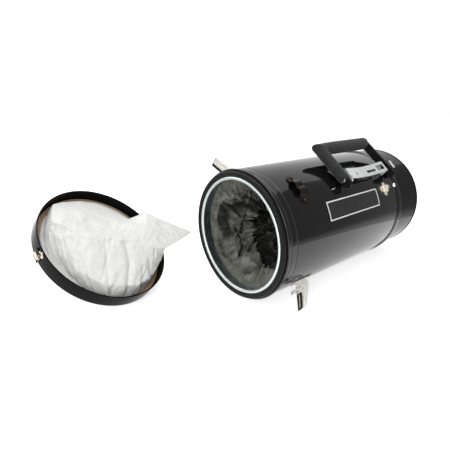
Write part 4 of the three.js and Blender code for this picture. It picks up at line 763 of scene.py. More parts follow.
@dataclass
class Mouth:
    """Gasket, filter ring and cloth filter, which pull out together."""

    places: Places
    gasket_radius: float = 93.3
    gasket_bore: float = 86.5
    bead_radius: float = 83.6
    bead_half: float = 2.65
    bead_front: float = 3.4
    sleeve_radius: float = 85.95
    sleeve_end: float = 28.0
    cloth_depth: float = 150.0
    cloth_cut: tuple[float, float] = (0.53, 0.25)
    cloth_swirl: float = 0.55
    cloth_belly: float = 17.0
    cloth_heavy_side: float = 215.0
    cloth_lumps: Sequence[tuple[float, float]] = ((1.4, 40.0), (3.1, 26.0), (7.0, 12.0), (15.0, 5.0), (33.0, 2.2))
    # Each crease: width, depth, painted shade (negative: a painted highlight on a ridge), and its line as angle and
    # share.
    creases: Sequence[tuple[float, float, float, Sequence[Point]]] = (
        (1.8, 3.8, 0.75, ((158.1, 0.125), (158.1, 0.142), (160.7, 0.142), (171.0, 0.183))),
        (1.8, 3.8, 0.75, ((168.4, 0.242), (185.1, 0.267), (196.7, 0.267), (204.4, 0.242))),
        (2.0, 4.4, 0.8, ((195.4, 0.208), (207.0, 0.2), (219.9, 0.183), (231.4, 0.142), (241.7, 0.108))),
        (4.6, 5.0, 0.6, ((153.0, 0.16), (154.3, 0.208), (151.7, 0.25), (154.3, 0.3), (140.1, 0.325))),
        (1.8, 3.0, 0.6, ((187.7, 0.383), (173.6, 0.3), (169.7, 0.308))),
        (1.8, 3.0, 0.5, ((189.0, 0.392), (201.9, 0.333))),
        (1.5, -2.2, -0.3, ((221.1, 0.1), (230.1, 0.117), (249.4, 0.1), (264.9, 0.117))),
        (1.3, -1.8, -0.3, ((248.1, 0.092), (257.1, 0.117), (272.6, 0.125))),
        (2.4, -2.6, -0.3, ((146.6, 0.075), (164.6, 0.067), (177.4, 0.042))),
        (7.0, 3.0, 0.5, ((163.3, 0.092), (176.1, 0.1), (186.4, 0.092), (199.3, 0.108))),
        (2.2, -3.0, -0.4, ((182.6, 0.542), (198.0, 0.508), (214.7, 0.5))),
        (2.2, -3.0, -0.4, ((185.1, 0.617), (199.3, 0.625), (216.0, 0.575))),
        (2.4, -3.0, -0.4, ((191.6, 0.65), (209.6, 0.658), (227.6, 0.492))),
        (5.0, -3.0, -0.45, ((230.1, 0.558), (241.7, 0.517), (253.3, 0.517))),
        (4.0, 2.0, 0.4, ((262.0, 0.085), (274.0, 0.1))),
        (2.6, 2.6, 0.3, ((128.6, 0.075), (131.1, 0.125), (138.9, 0.25))),
        (3.0, 2.6, 0.35, ((142.7, 0.233), (140.1, 0.3), (133.7, 0.392))),
        (2.6, 2.4, 0.25, ((131.1, 0.292), (102.9, 0.208))),
        (2.2, 2.0, 0.25, ((203.1, 0.042), (214.7, 0.042), (226.3, 0.05))),
        (2.0, -2.0, -0.3, ((264.9, 0.058), (276.4, 0.1))),
    )
    # Where the cloth falls back into the deep folds; beyond it the cloth is painted dark as shade.
    deep: Sequence[Point] = (
        (0.0, 0.12), (45.0, 0.1), (58.0, 0.13), (70.0, 0.3), (100.0, 0.5), (130.0, 0.45), (139.0, 0.335),
        (157.0, 0.317), (176.0, 0.308), (189.0, 0.37), (198.0, 0.35), (212.0, 0.317), (226.0, 0.308),
        (245.6, 0.25), (260.0, 0.2), (271.0, 0.175), (278.0, 0.19), (297.0, 0.142), (310.0, 0.1), (360.0, 0.12),
    )

    def build(self) -> None:
        """Builds the three pieces."""
        self._gasket()
        self._ring()
        self._cloth()

    def _gasket(self) -> None:
        """Moulded ring with a rounded lip and a shallow channel in its face."""
        outline = rounded([
            (self.gasket_radius, 0.0, 2.2),
            (self.gasket_radius, 14.0, 0.5),
            (self.gasket_bore, 14.0, 0.5),
            (self.gasket_bore, 0.0, 1.0),
            (88.2, 0.0, 0.3),
            (88.8, 0.8, 0.3),
            (90.2, 0.8, 0.3),
            (90.8, 0.0, 0.3),
        ], 4)
        Bench.piece("mouth_ring", turned(outline, 256), self.places.canister(), RUBBER, "filter", ["mouth_gasket"])

    def _ring(self) -> None:
        """Bright rolled bead, and the sleeve that runs back from it."""
        bead = [
            (self.bead_radius + self.bead_half * math.cos(a), self.bead_front + 2.5 * math.sin(a))
            for a in (2 * math.pi * i / 18 for i in range(18))
        ]
        Bench.piece("rolled_bead", turned(bead, 256), self.places.canister(), BRIGHT_BEAD, "filter", ["filter_ring"])
        sleeve = rounded([
            (self.sleeve_radius, 4.4, 0.2),
            (self.sleeve_radius, 24.6, 0.4),
            (self.sleeve_radius, self.sleeve_end, 0.4),
            (self.sleeve_radius - 0.9, self.sleeve_end, 0.4),
            (self.sleeve_radius - 0.9, 4.4, 0.2),
        ], 3)
        Bench.piece("filter_sleeve", turned(sleeve, 256), self.places.canister(), GALVANISED, "filter")

    def _cloth(self) -> None:
        """Cloth bag bulging in slack folds behind the sleeve."""
        rows, around = 120, 280
        bm = bmesh.new()
        line = [bm.verts.new((1.0, i / rows, 0.0)) for i in range(rows + 1)]
        edges = [bm.edges.new(pair) for pair in zip(line, line[1:])]
        bmesh.ops.spin(
            bm, geom=line + edges, cent=(0, 0, 0), axis=(0, 1, 0), angle=2 * math.pi, steps=around,
            use_merge=True, use_duplicate=False,
        )
        bmesh.ops.remove_doubles(bm, verts=bm.verts, dist=1e-5)
        flat = bm.loops.layers.uv.new("cloth")
        for face in bm.faces:
            turns = [math.atan2(v.co.z, v.co.x) / (2 * math.pi) for v in face.verts]
            for loop, turn in zip(face.loops, turns):
                whole = turn + 1.0 if max(turns) - turn > 0.5 else turn
                loop[flat].uv = (whole * 0.53, loop.vert.co.y * 0.26)
        # Per point: random tone, painted shade in creases and deep folds, painted highlight on ridges.
        tone_and_shade = bm.verts.layers.float.new("tone_and_shade")
        for vert in bm.verts:
            angle = math.atan2(vert.co.z, vert.co.x)
            vert.co, vert[tone_and_shade] = self._slack(angle, vert.co.y)
        bmesh.ops.recalc_face_normals(bm, faces=bm.faces)
        area = sum(face.calc_area() for face in bm.faces) * MM * MM
        cloth = Bench.piece(
            "cloth_bag", bm, self.places.canister(), CLOTH, "filter", ["cloth_filter"], crease=180.0,
        )
        thick = cloth.modifiers.new("thickness", "SOLIDIFY")
        thick.thickness = 0.8 * MM
        thick.offset = -1.0
        LOG.info("cloth bag: %.4f square metres, cut %.4f", area, self.cloth_cut[0] * self.cloth_cut[1])

    def _slack(self, angle: float, share: float) -> tuple[Vector, float]:
        """Gives the place of a point of the cloth.

        Args:
            angle: Angle round the canister.
            share: From the sleeve, zero, over the side to the middle of the end, one.

        Returns:
            The point in the canister's frame, and its tone and painted shade from zero to one.
        """
        side = min(share / 0.7, 1.0)
        end = max((share - 0.7) / 0.3, 0.0)
        spot = Vector((math.cos(angle), math.sin(angle), 2.3 * share))
        warp = Vector([noise.noise(1.2 * spot + Vector(shift)) for shift in ((3.1, 0, 0), (0, 7.7, 0), (0, 0, 5.2))])
        bent = spot + self.cloth_swirl * warp
        lumps = [abs(noise.noise(scale * bent + Vector((scale, 0.0, 2.0)))) * depth for scale, depth in self.cloth_lumps]
        grip = smooth(share / 0.16)
        degrees = math.degrees(angle) % 360.0
        crease, tone_and_shade = self._creased(degrees, share)
        beyond = share - self._boundary(degrees)
        gather = noise.noise(Vector((26.0 * angle, 4.0 * share, 1.0))) * 1.4 * smooth(1.0 - share / 0.12) * smooth(share / 0.02)
        drop = 11.0 * smooth(beyond / 0.06) * smooth((0.72 - share) / 0.1)
        lean = 0.5 + 0.5 * math.cos(angle - math.radians(self.cloth_heavy_side))
        radius = 84.6 - 13.0 * side * side - grip * (self.cloth_belly * lean * math.sin(math.pi * min(side * 0.9, 1.0)) + sum(lumps))
        radius += (drop + crease) * smooth(share / 0.06) + gather
        radius = min(radius, 85.0)
        radius *= math.sqrt(max(1.0 - end * end, 0.0)) if end < 1.0 else 0.0
        station = 20.0 + (self.cloth_depth - 34.0) * side + 12.0 * math.sin(math.pi * end / 2)
        station -= end * (0.8 * sum(lumps) + 24.0 * lean * (1.0 - end))
        mottle = noise.noise(9.0 * bent + Vector((0.0, 4.0, 0.0))) + 0.6 * noise.noise(24.0 * bent) + 0.5 * noise.noise(60.0 * bent)
        # Painted shade in the small creases between the lumps.
        crease_shade = 0.22 * smooth(1.0 - lumps[3] / 0.5) + 0.12 * smooth(1.0 - lumps[4] / 0.25) + 0.2 * smooth(1.0 - lumps[2] / 1.0)
        # Adds to the creases' painted shade: base tone and random mottle, painted shade in the small creases, past
        # the fall into the deep folds and in the gathers' hollows, lighter on their ridges.
        tone_and_shade += 0.33 + 0.26 * mottle + crease_shade * grip + 0.6 * smooth(beyond / 0.03) + gather * 0.14
        spot = Vector((radius * math.cos(angle), station, radius * math.sin(angle)))
        return spot, min(max(tone_and_shade, 0.0), 1.0)

    def _creased(self, degrees: float, share: float) -> tuple[float, float]:
        """Gives how deep the creases are at a point of the cloth, and the painted shade in them, negative where a
        ridge takes a painted highlight.

        Args:
            degrees: Angle round the canister, from 0 to 360.
            share: How far along the cloth, as in _slack.

        Returns:
            The depth in millimetres and the painted shade.
        """
        at = Vector((math.radians(degrees) * 60.0, share * 170.0))
        deep, tone_and_shade = 0.0, 0.0
        for width, depth, dark, points in self.creases:
            line = [Vector((math.radians(a) * 60.0, b * 170.0)) for a, b in points]
            if not (line[0] - at).length < 75.0:
                continue
            near = 1e9
            for start, stop in zip(line, line[1:]):
                along = stop - start
                t = min(max((at - start).dot(along) / along.length_squared, 0.0), 1.0)
                near = min(near, (at - start - t * along).length)
            pull = math.exp(-((near / width) ** 2))
            deep += depth * pull
            tone_and_shade += dark * pull
        return deep, tone_and_shade

    def _boundary(self, degrees: float) -> float:
        """Gives the share at which the cloth falls back into shade, at an angle in degrees."""
        for (a, b), (c, d) in zip(self.deep, self.deep[1:]):
            if a <= degrees <= c:
                return b + (d - b) * (degrees - a) / (c - a)
        return self.deep[-1][1]


@dataclass
class Latch:
    """One draw latch: base, lever and draw hook."""

    places: Places
    side: str
    angle: float
    lean: float
    station: float = 62.0
    pivot: float = 102.0
    length: float = 40.5
    web: float = 2.8
    half: float = 8.5
    taper: float = 0.3
    # Patch on the lever's front painted dark as shade and reflection: left, right, start, stop; and whether the tip
    # is painted dark too.
    dark: tuple[float, float, float, float] = (-4.6, 10.5, 11.0, 39.5)
    dark_tip: bool = False

    def build(self) -> None:
        """Builds the latch's pieces."""
        Bench.refined(f"latch_base_{self.side}", NICKEL, 0.35)
        # The lever's hollow, front patch and tip take painted shade.
        Bench.refined(f"latch_lever_{self.side}", NICKEL, 0.35, self._shaped, LEVER_SHADE)
        rib = rod(0.8, self.length * 0.48, Matrix.Translation((1.6, self.length * 0.66, self.web + 1.6)) @ Matrix.Rotation(math.pi / 2, 4, "X"), 24)
        Bench.piece(f"lever_rib_{self.side}", rib, self._place(), CAST, self._body(), bevel=0.4)
        Bench.refined(f"latch_hook_{self.side}", NICKEL, 0.4)

    def _body(self) -> str:
        """Returns the body that the lever rides on."""
        return frame["nodes"][f"latch_lever_{self.side}"]["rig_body"]

    def _place(self) -> Matrix:
        """Returns the lever's frame: Y along it from the pivot, Z towards its web."""
        shift = Matrix.Translation((0, self.station, self.pivot))
        return self.places.radial(self.angle) @ shift @ Matrix.Rotation(math.radians(90 + self.lean), 4, "X")

    def _shaped(self, bm: bmesh.types.BMesh) -> None:
        """Tapers the lever and picks out the faces that take painted shade: its hollow, a patch on its front painted
        as a dark reflection, and its tip where asked.
        """
        place = self._place()
        bm.transform(place.inverted())
        for vert in bm.verts:
            share = min(max(vert.co.y / self.length, 0.0), 1.0)
            vert.co.x *= 1.14 - self.taper * share
        left, right, start, stop = self.dark
        for at, way in (((left, 0, 0), "x"), ((right, 0, 0), "x"), ((0, start, 0), "y"), ((0, stop, 0), "y")):
            geometry = list(bm.verts) + list(bm.edges) + list(bm.faces)
            normal = (1, 0, 0) if way == "x" else (0, 1, 0)
            bmesh.ops.bisect_plane(bm, geom=geometry, dist=1e-4, plane_co=at, plane_no=normal)
        bm.normal_update()
        for face in bm.faces:
            spot, way = face.calc_center_median(), face.normal
            hollow = way.z < -0.8 and spot.z < self.web + 0.2 and abs(spot.x) < self.half - 1.6 and spot.y > 12.0
            front = way.z > 0.5 and spot.z > self.web and left < spot.x < right and start < spot.y < stop
            tip = self.dark_tip and spot.y > self.length - 4.5
            face.material_index = 1 if hollow or front or tip else 0
        bm.transform(place)


@dataclass
class Handle:
    """Folding handle: strap bail, foam grip, posts, pins and stay."""

    places: Places
    line: float = 46.0
    hinge_radius: float = 105.0
    fold: float = 141.8
    front: float = 146.4
    rear: float = 268.6
    reach: float = 60.9
    lean: float = 0.6
    grip_tail: float = 2.0
    leg_radius: float = 8.1
    mitre_radius: float = 8.8
    bar_radius: float = 9.9

    def build(self) -> None:
        """Builds the handle's pieces."""
        self._grip()
        Bench.refined("handle_bail", SATIN_ENAMEL, 0.6)
        Bench.refined("handle_post_front", ZINC, 0.4)
        Bench.refined("handle_post_rear", SATIN_ENAMEL, 0.4)
        Bench.refined("handle_pin_front", CHROME, 0.5)
        Bench.refined("handle_pin_rear", SATIN_ENAMEL, 0.5)
        cap = bmesh.new()
        bmesh.ops.create_cube(cap, size=1.0)
        cap.transform(Matrix.Diagonal((14.0, 5.0, 1.6, 1.0)))
        cap.transform(Matrix.Translation((-3.6, 274.4, 113.2)))
        Bench.piece("post_cap", cap, self.places.radial(self.line), ZINC, "canister", bevel=0.5)
        Bench.refined("handle_stay", ZINC, 0.3)

    def _grip(self) -> None:
        """Foam tube, cut to a sharp mitre where it turns from the leg to the bar."""
        share = self.lean / self.reach
        low = Vector((self.front + self.grip_tail * share, -self.grip_tail, 0.0))
        corner = Vector((self.front - self.lean, self.reach, 0.0))
        end = Vector((self.rear - self.lean - self.grip_tail, self.reach, 0.0))
        leg, along = (corner - low).normalized(), (end - corner).normalized()
        out = Vector((0.0, 0.0, 1.0))
        stations: list[Matrix] = []

        def station(at: Vector, across: Vector, radius: float) -> None:
            """Adds a section frame of a radius at a point."""
            stations.append(Matrix((
                (across.x * radius, 0.0, 0.0, at.x),
                (across.y * radius, 0.0, 0.0, at.y),
                (0.0, radius, 0.0, at.z),
                (0.0, 0.0, 0.0, 1.0),
            )))

        normal_leg, normal_bar = leg.cross(out), along.cross(out)
        mitre = (normal_leg + normal_bar) / (1.0 + normal_leg.dot(normal_bar))
        for step, scale in ((0.0, 0.86), (0.5, 0.95), (1.4, 1.0)):
            station(low + leg * step, normal_leg, self.leg_radius * scale)
        for i in range(2, 15):
            swell = 1.0 + 0.01 * math.sin(2.1 * i)
            grown = self.leg_radius + (self.mitre_radius - self.leg_radius) * i / 18
            at = low.lerp(corner, i / 18)
            station(at, normal_leg.lerp(mitre, max(i - 8, 0) / 10), grown * swell)
        station(corner - leg * 0.5, mitre, self.mitre_radius * 0.985)
        station(corner, mitre, self.mitre_radius)
        station(corner + along * 0.5, mitre, self.mitre_radius * 0.985)
        for i in range(3, 29):
            grown = self.bar_radius + (self.mitre_radius - self.bar_radius) * max(1 - i / 9, 0.0)
            swell = 1.0 + 0.01 * math.sin(1.7 * i)
            station(corner.lerp(end, i / 30), normal_bar.lerp(mitre, max(8 - i, 0) / 8), grown * swell)
        for step, scale in ((1.4, 1.0), (0.5, 0.95), (0.0, 0.86)):
            station(end - along * step, normal_bar, self.bar_radius * scale)
        circle = [(math.cos(a), math.sin(a)) for a in (2 * math.pi * i / 48 for i in range(48))]
        grip = Bench.piece(
            "foam_tube", swept(circle, stations), self.places.hinge(self.line, self.hinge_radius, self.fold),
            FOAM, "handle", ["handle_grip"], crease=40.0,
        )


@dataclass
class Fittings:
    """Strap loop, label plate, rear catch, exhaust collar, switch, gland and screws."""

    places: Places

    def build(self) -> None:
        """Builds the fittings on the tube and the rear face."""
        self._label()
        Bench.refined("strap_loop", BRONZED, 0.4)
        for node in ("loop_screw_a", "loop_screw_b"):
            Bench.refined(node, BRONZED, 0.3)
        self._catch()
        Bench.refined("rear_ball", CHROME, 0.1)
        self._collar()
        Bench.refined("switch_housing", MOULDED, 0.5)
        Bench.refined("switch_rocker", MOULDED, 0.6)
        Bench.refined("cord_gland", RUBBER, 0.5)
        for node in ("rear_screw_1", "rear_screw_2"):
            Bench.refined(node, STEEL, 0.3)

    def _catch(self) -> None:
        """Cast catch: a lobed plate with three ribs across it and a domed rivet in each ear."""
        under = 95.3
        shapes = []
        for x, y, r, high in ((0, 248, 7.6, 1.6), (-7.2, 248, 4.6, 1.8), (-1.5, 239.5, 5.2, 1.8), (6.2, 247, 5.0, 1.8), (-2.4, 257.5, 5.0, 1.8)):
            shapes.append(rod(r, high, Matrix.Translation((x, y, under + high / 2)), 40))
        for y in (243.4, 248.0, 252.6):
            across = Matrix.Translation((-0.5, y, under + 2.2)) @ Matrix.Rotation(math.pi / 2, 4, "Y")
            shapes.append(rod(1.7, 11.0, across, 24))
        for x, y in ((-7.6, 248.0), (6.8, 247.0), (-1.5, 238.6), (-2.6, 258.4)):
            dome = bmesh.new()
            bmesh.ops.create_uvsphere(dome, u_segments=24, v_segments=12, radius=2.4)
            dome.transform(Matrix.Translation((x, y, under + 1.8)) @ Matrix.Diagonal((1, 1, 0.7, 1)))
            shapes.append(dome)
        Bench.piece(
            "cast_catch", merged(shapes), self.places.radial(29.5), CAST, "canister", ["rear_catch"], bevel=0.5,
        )

    def _label(self) -> None:
        """Bare label plate with a raised pale edge line."""
        under, top = 95.3, 96.1
        low, high, front, rear = 15.4, 33.0, 94.0, 224.0

        def plate(a0: float, a1: float, y0: float, y1: float, r0: float, r1: float) -> bmesh.types.BMesh:
            """Makes a curved slab between angles, stations and radii."""
            steps = 12
            outer = [(r1 * math.cos(math.radians(a0 + (a1 - a0) * i / steps)), r1 * math.sin(math.radians(a0 + (a1 - a0) * i / steps))) for i in range(steps + 1)]
            inner = [(r0 * math.cos(math.radians(a0 + (a1 - a0) * i / steps)), r0 * math.sin(math.radians(a0 + (a1 - a0) * i / steps))) for i in range(steps + 1)]
            bm = slab(outer + inner[::-1], y1 - y0)
            bm.transform(Matrix.Translation((0, (y0 + y1) / 2, 0)) @ Matrix.Rotation(math.pi / 2, 4, "X"))
            return bm

        Bench.piece(
            "label_back", plate(low, high, front, rear, under, top - 0.15), self.places.canister(), LABEL, "canister",
            ["label_plate"], bevel=0.15,
        )
        line, inset = 1.8, 0.9
        degree = math.degrees(line / top)
        step = math.degrees(inset / top)
        bars = [
            plate(low + step, low + step + degree, front + inset, rear - inset, top - 0.3, top),
            plate(high - step - degree, high - step, front + inset, rear - inset, top - 0.3, top),
            plate(low + step, high - step, front + inset, front + inset + line, top - 0.3, top),
            plate(low + step, high - step, rear - inset - line, rear - inset, top - 0.3, top),
        ]
        Bench.piece("label_line", merged(bars), self.places.canister(), LABEL_EDGE, "canister")

    def _collar(self) -> None:
        """Exhaust collar with a flange and a lead-in."""
        face = 352.2
        outline = rounded([
            (19.4, face - 6.0, 0.3),
            (19.4, face + 0.3, 0.0),
            (25.0, face + 0.3, 0.3),
            (25.0, face + 2.3, 0.8),
            (19.7, face + 2.3, 0.6),
            (19.7, face + 16.0, 0.7),
            (17.0, face + 16.0, 0.7),
            (17.0, face - 6.0, 0.3),
        ], 4)
        Bench.piece("blower_collar", turned(outline, 128), self.places.canister(), MOULDED, "canister", ["exhaust_collar"])


@dataclass
class FrontCap:
    """Cap shell, sealing ring, keepers, hose neck and bag card."""

    places: Places
    radius: float = 99.2
    wall: float = 1.4
    depth: float = 23.6

    def build(self) -> None:
        """Builds the cap's pieces."""
        self._shell()
        self._seal()
        self._neck()
        for node, angle in (("cap_keeper_a", 164.0), ("cap_keeper_b", 344.0)):
            self._keeper(node, angle)
        Bench.refined("bag_card", CARD, 0.2)

    def _place(self) -> Matrix:
        """Returns the frame that turned pieces of the cap are placed in."""
        return self.places.cap() @ AXIS_TO_CAP

    def _shell(self) -> None:
        """Drawn cap with a curled rim and a flat back."""
        r, w, d = self.radius, self.wall, self.depth
        outline = rounded([
            (r, -d, 3.0),
            (r, -0.4, 0.6),
            (r - 0.2, 0.0, 0.3),
            (r - w - 0.6, 0.0, 0.6),
            (r - w - 0.6, -1.8, 0.5),
            (r - w, -2.2, 0.4),
            (r - w, w - d, 1.6),
            (22.3, w - d, 0.2),
            (22.3, -d, 0.2),
        ])
        Bench.piece("cap_pan", turned(outline, 256), self._place(), CAP_ENAMEL, "cap", ["cap_shell"])

    def _seal(self) -> None:
        """Two-tone sealing ring bedded in the cap's corner."""
        floor = self.wall - self.depth + 0.3
        outline = rounded([
            (97.0, floor, 0.4),
            (97.0, floor + 5.0, 1.4),
            (93.6, floor + 5.0, 0.8),
            (92.6, floor + 4.2, 0.4),
            (91.6, floor + 5.0, 0.8),
            (88.0, floor + 5.0, 1.4),
            (88.0, floor, 0.4),
        ], 4)
        Bench.piece("seal_ring", turned(outline, 192), self._place(), SEAL, "cap", ["cap_gasket"])

    def _keeper(self, node: str, angle: float) -> None:
        """Enamelled keeper plate on the band with a hooked lip, and its cluster of domed rivets.

        Args:
            node: The CAD node that it stands for.
            angle: Its place round the cap in degrees.
        """
        place = self.places.cap() @ Matrix.Rotation(math.radians(angle), 4, "Z")

        def lipped(bm: bmesh.types.BMesh) -> None:
            """Narrows the lip and picks out its faces."""
            bm.transform(place.inverted())
            for vert in bm.verts:
                if vert.co.x > self.radius + 1.7:
                    vert.co.y = 0.6 * vert.co.y + 1.5
            bm.normal_update()
            for face in bm.faces:
                face.material_index = int(face.calc_center_median().x > self.radius + 1.7)
            bm.transform(place)

        Bench.refined(node, CAP_ENAMEL, 0.4, lipped, CAST)
        domes = []
        for y, z, r in ((8.2, -5.2, 2.7), (3.6, -8.8, 2.2), (5.2, -2.6, 2.0), (1.2, -4.8, 1.8)):
            dome = bmesh.new()
            bmesh.ops.create_uvsphere(dome, u_segments=24, v_segments=12, radius=r)
            dome.transform(Matrix.Translation((self.radius + 0.5, y, z)) @ Matrix.Diagonal((0.7, 1, 1, 1)))
            domes.append(dome)
        Bench.piece(f"{node}_rivets", merged(domes), place, CAST, "cap", bevel=0.0)

    def _neck(self) -> None:
        """Hose neck with its flange and the spigot inside the cap."""
        d, floor, end = self.depth, self.wall - self.depth, -89.399
        outline = rounded([
            (22.0, end, 0.8),
            (22.0, -d - 2.5, 1.2),
            (32.0, -d - 2.5, 0.8),
            (32.0, -d - 0.3, 0.4),
            (22.0, -d - 0.3, 0.0),
            (22.0, floor, 0.0),
            (20.4, floor, 0.0),
            (20.4, floor + 13.0, 0.8),
            (18.4, floor + 13.0, 0.8),
            (18.4, end, 0.8),
        ], 4)
        Bench.piece("neck_tube", turned(outline, 128), self._place(), SATIN_ENAMEL, "cap", ["hose_neck"])


@dataclass
class PaperBag:
    """Folded paper bag standing out of the cap, drawn in the cap's frame.

    Each column runs from the bag's far edge over the ridge to its foot at the near rim. A fold is
    the column where it starts and ends, its width in columns, its depth, and the shares of the
    wall's height between which it runs.
    """

    places: Places
    columns: Sequence[Sequence[Spot]] = (
        ((-36, 84, -15), (-52, 70, -15), (-67, 54, -15), (-77, 38, -15), (-83, 16, -15), (-80, -6, -15.5)),
        ((-28, 88, -4), (-45, 74, 0), (-59, 55, 6), (-68, 41, -5), (-75, 18, -10), (-76, -6, -15)),
        ((-6, 90, -9), (-31, 68, 5), (-57, 44, 16), (-66, 29, 6), (-76, 5, -4), (-78, -20, -15)),
        ((30, 84, -13), (-10, 53, 9), (-57, 18, 25), (-66, 6, 12), (-76, -16, 0), (-76, -38, -15)),
        ((54, 72, -14), (6, 37, 10), (-48, 3, 31), (-59, -15, 17), (-72, -38, 3), (-70, -56, -15)),
        ((70, 50, -13), (20, 22, 12), (-28, -10, 34), (-40, -34, 20), (-57, -60, 3), (-57, -74, -15)),
        ((81, 22, -11), (30, 0, 27), (-6, -30, 37), (-15, -55, 22), (-34, -77, 4), (-38, -84, -15)),
        ((76, 3, 30), (46, -22, 37), (10, -49, 40), (4, -70, 24), (-11, -86, 4), (-16, -91, -15)),
        ((91, -27, 36), (58, -44, 41), (22, -61, 42), (20, -75, 24), (17, -86, 5), (19, -89, -15)),
        ((113, -69.5, 45), (75, -70, 44), (36.5, -69, 42), (43, -71, 25), (54, -73, 6), (62, -69, -15)),
    )
    folds: Sequence[tuple[float, float, float, float, float, float]] = (
        (3.4, 2.9, 0.22, 1.8, 0.1, 0.8),
        (4.0, 3.6, 0.24, 1.8, 0.1, 0.9),
        (3.1, 3.95, 0.2, 3.0, 0.4, 1.0),
        (4.85, 5.2, 0.22, 2.4, 0.05, 1.0),
        (5.85, 6.3, 0.34, 4.6, 0.0, 1.0),
        (5.8, 5.1, 0.2, 3.4, 0.6, 1.0),
        (6.4, 7.5, 0.24, 3.4, 0.3, 1.0),
        (7.0, 8.4, 0.24, 3.2, 0.2, 1.0),
        (7.7, 6.9, 0.2, 2.8, 0.45, 1.0),
        (7.9, 8.2, 0.22, 2.4, 0.0, 0.7),
        (1.9, 2.5, 0.2, 2.4, 0.2, 1.0),
        (5.2, 4.4, 0.16, 1.6, 0.0, 0.7),
    )
    crumple: float = 2.4
    cut: tuple[float, float] = (0.21, 0.2)
    foot: float = -15.6

    def build(self) -> None:
        """Builds the bag's body, its side under the flap and its base."""
        self._sheet("folded_bag", self.columns, self.folds, (216, 144), self.cut, ["paper_bag"])
        under = [
            ((36, -66, 40), (43, -66, 22), (55, -63, 2), (60, -62, -15)),
            ((52, -40, 38), (58, -42, 20), (72, -42, 2), (76, -40, -15)),
            ((68, -14, 32), (72, -16, 18), (84, -16, 0), (85, -14, -15)),
            ((77, 10, 22), (80, 10, 10), (84, 12, -2), (83, 14, -15)),
        ]
        self._sheet("bag_side", under, ((0.6, 0.9, 0.3, 4.0, 0.1, 1.0), (1.7, 1.5, 0.3, 4.0, 0.1, 1.0)), (60, 40), (0.085, 0.06), [])
        self._base()

    def _sheet(
        self,
        name: str,
        columns: Sequence[Sequence[Spot]],
        folds: Sequence[tuple[float, float, float, float, float, float]],
        steps: tuple[int, int],
        cut: Point,
        nodes: Sequence[str],
    ) -> None:
        """Lays a sheet of paper over columns of points, then pleats and crumples it.

        Args:
            name: The piece's name.
            columns: Points that the sheet passes through.
            folds: The pleats of its wall.
            steps: Faces across and down.
            cut: The flat size in metres.
            nodes: The CAD nodes that it stands for.
        """
        bm = bmesh.new()
        bmesh.ops.create_grid(bm, x_segments=steps[0], y_segments=steps[1], size=0.5)
        flat = bm.loops.layers.uv.new("cloth")
        for face in bm.faces:
            for loop in face.loops:
                loop[flat].uv = (loop.vert.co.x * cut[0], loop.vert.co.y * cut[1])
        shares = {vert: (vert.co.x + 0.5, vert.co.y + 0.5) for vert in bm.verts}
        for vert, (across, down) in shares.items():
            vert.co = self._between(columns, across, down)
        inner = [v for v in bm.verts if not v.is_boundary]
        for _ in range(7):
            bmesh.ops.smooth_vert(bm, verts=inner, factor=0.5, use_axis_x=True, use_axis_y=True, use_axis_z=True)
        bmesh.ops.recalc_face_normals(bm, faces=bm.faces)
        bm.normal_update()
        up = sum(face.normal.z for face in bm.faces)
        if up < 0:
            bmesh.ops.reverse_faces(bm, faces=bm.faces)
            bm.normal_update()
        ridge = 0.4 if len(columns[0]) > 4 else 0.0
        moves = {}
        for vert, (across, down) in shares.items():
            column = across * (len(columns) - 1)
            wall = (down - ridge) / (1.0 - ridge)
            depth = self._pleat(folds, column, wall) if wall > 0 else 0.0
            spot = Vector((vert.co.x / 30.0, vert.co.y / 30.0, vert.co.z / 30.0))
            warp = 0.5 * noise.noise_vector(0.8 * spot)
            rough = abs(noise.noise(spot + warp)) + 0.6 * abs(noise.noise(2.3 * spot + 1.5 * warp)) + 0.34 * abs(noise.noise(5.5 * spot + warp))
            if wall > 0:
                hang = Vector((1.3 * column, 1.6 * wall, 0.0)) + 0.5 * warp
                rough += 0.7 * abs(noise.noise(hang)) + 0.4 * abs(noise.noise(2.6 * hang))
            edge = min(1.0, 10.0 * min(across, 1.0 - across, down, 1.0 - down) + 0.25)
            moves[vert] = -vert.normal * (depth + self.crumple * rough * edge)
        for vert, move in moves.items():
            vert.co += move
        area = sum(face.calc_area() for face in bm.faces) * MM * MM
        bag = Bench.piece(name, bm, self.places.cap(), PAPER, "bag", nodes, crease=180.0)
        thick = bag.modifiers.new("thickness", "SOLIDIFY")
        thick.thickness = 0.5 * MM
        thick.offset = -1.0
        LOG.info("%s: %.4f square metres, cut %.4f", name, area, cut[0] * cut[1])

    @staticmethod
    def _between(columns: Sequence[Sequence[Spot]], across: float, down: float) -> Vector:
        """Gives the place between four points of the columns."""
        u, v = across * (len(columns) - 1), down * (len(columns[0]) - 1)
        i, j = min(int(u), len(columns) - 2), min(int(v), len(columns[0]) - 2)
        top = Vector(columns[i][j]).lerp(Vector(columns[i + 1][j]), u - i)
        low = Vector(columns[i][j + 1]).lerp(Vector(columns[i + 1][j + 1]), u - i)
        return top.lerp(low, v - j)

    @staticmethod
    def _pleat(folds: Sequence[tuple[float, float, float, float, float, float]], column: float, wall: float) -> float:
        """Gives how deep the pleats are at a column and height of the wall."""
        deep = 0.0
        for start, end, width, depth, high, low in folds:
            if not high <= wall <= low:
                continue
            off = abs(column - start - (end - start) * wall) / width
            run = min((wall - high) / 0.12 if high > 0 else 1.0, 1.0, (low - wall) / 0.12 if low < 1.0 else 1.0)
            deep += depth * run * max(1.0 - off, 0.0) ** 1.6
        return deep

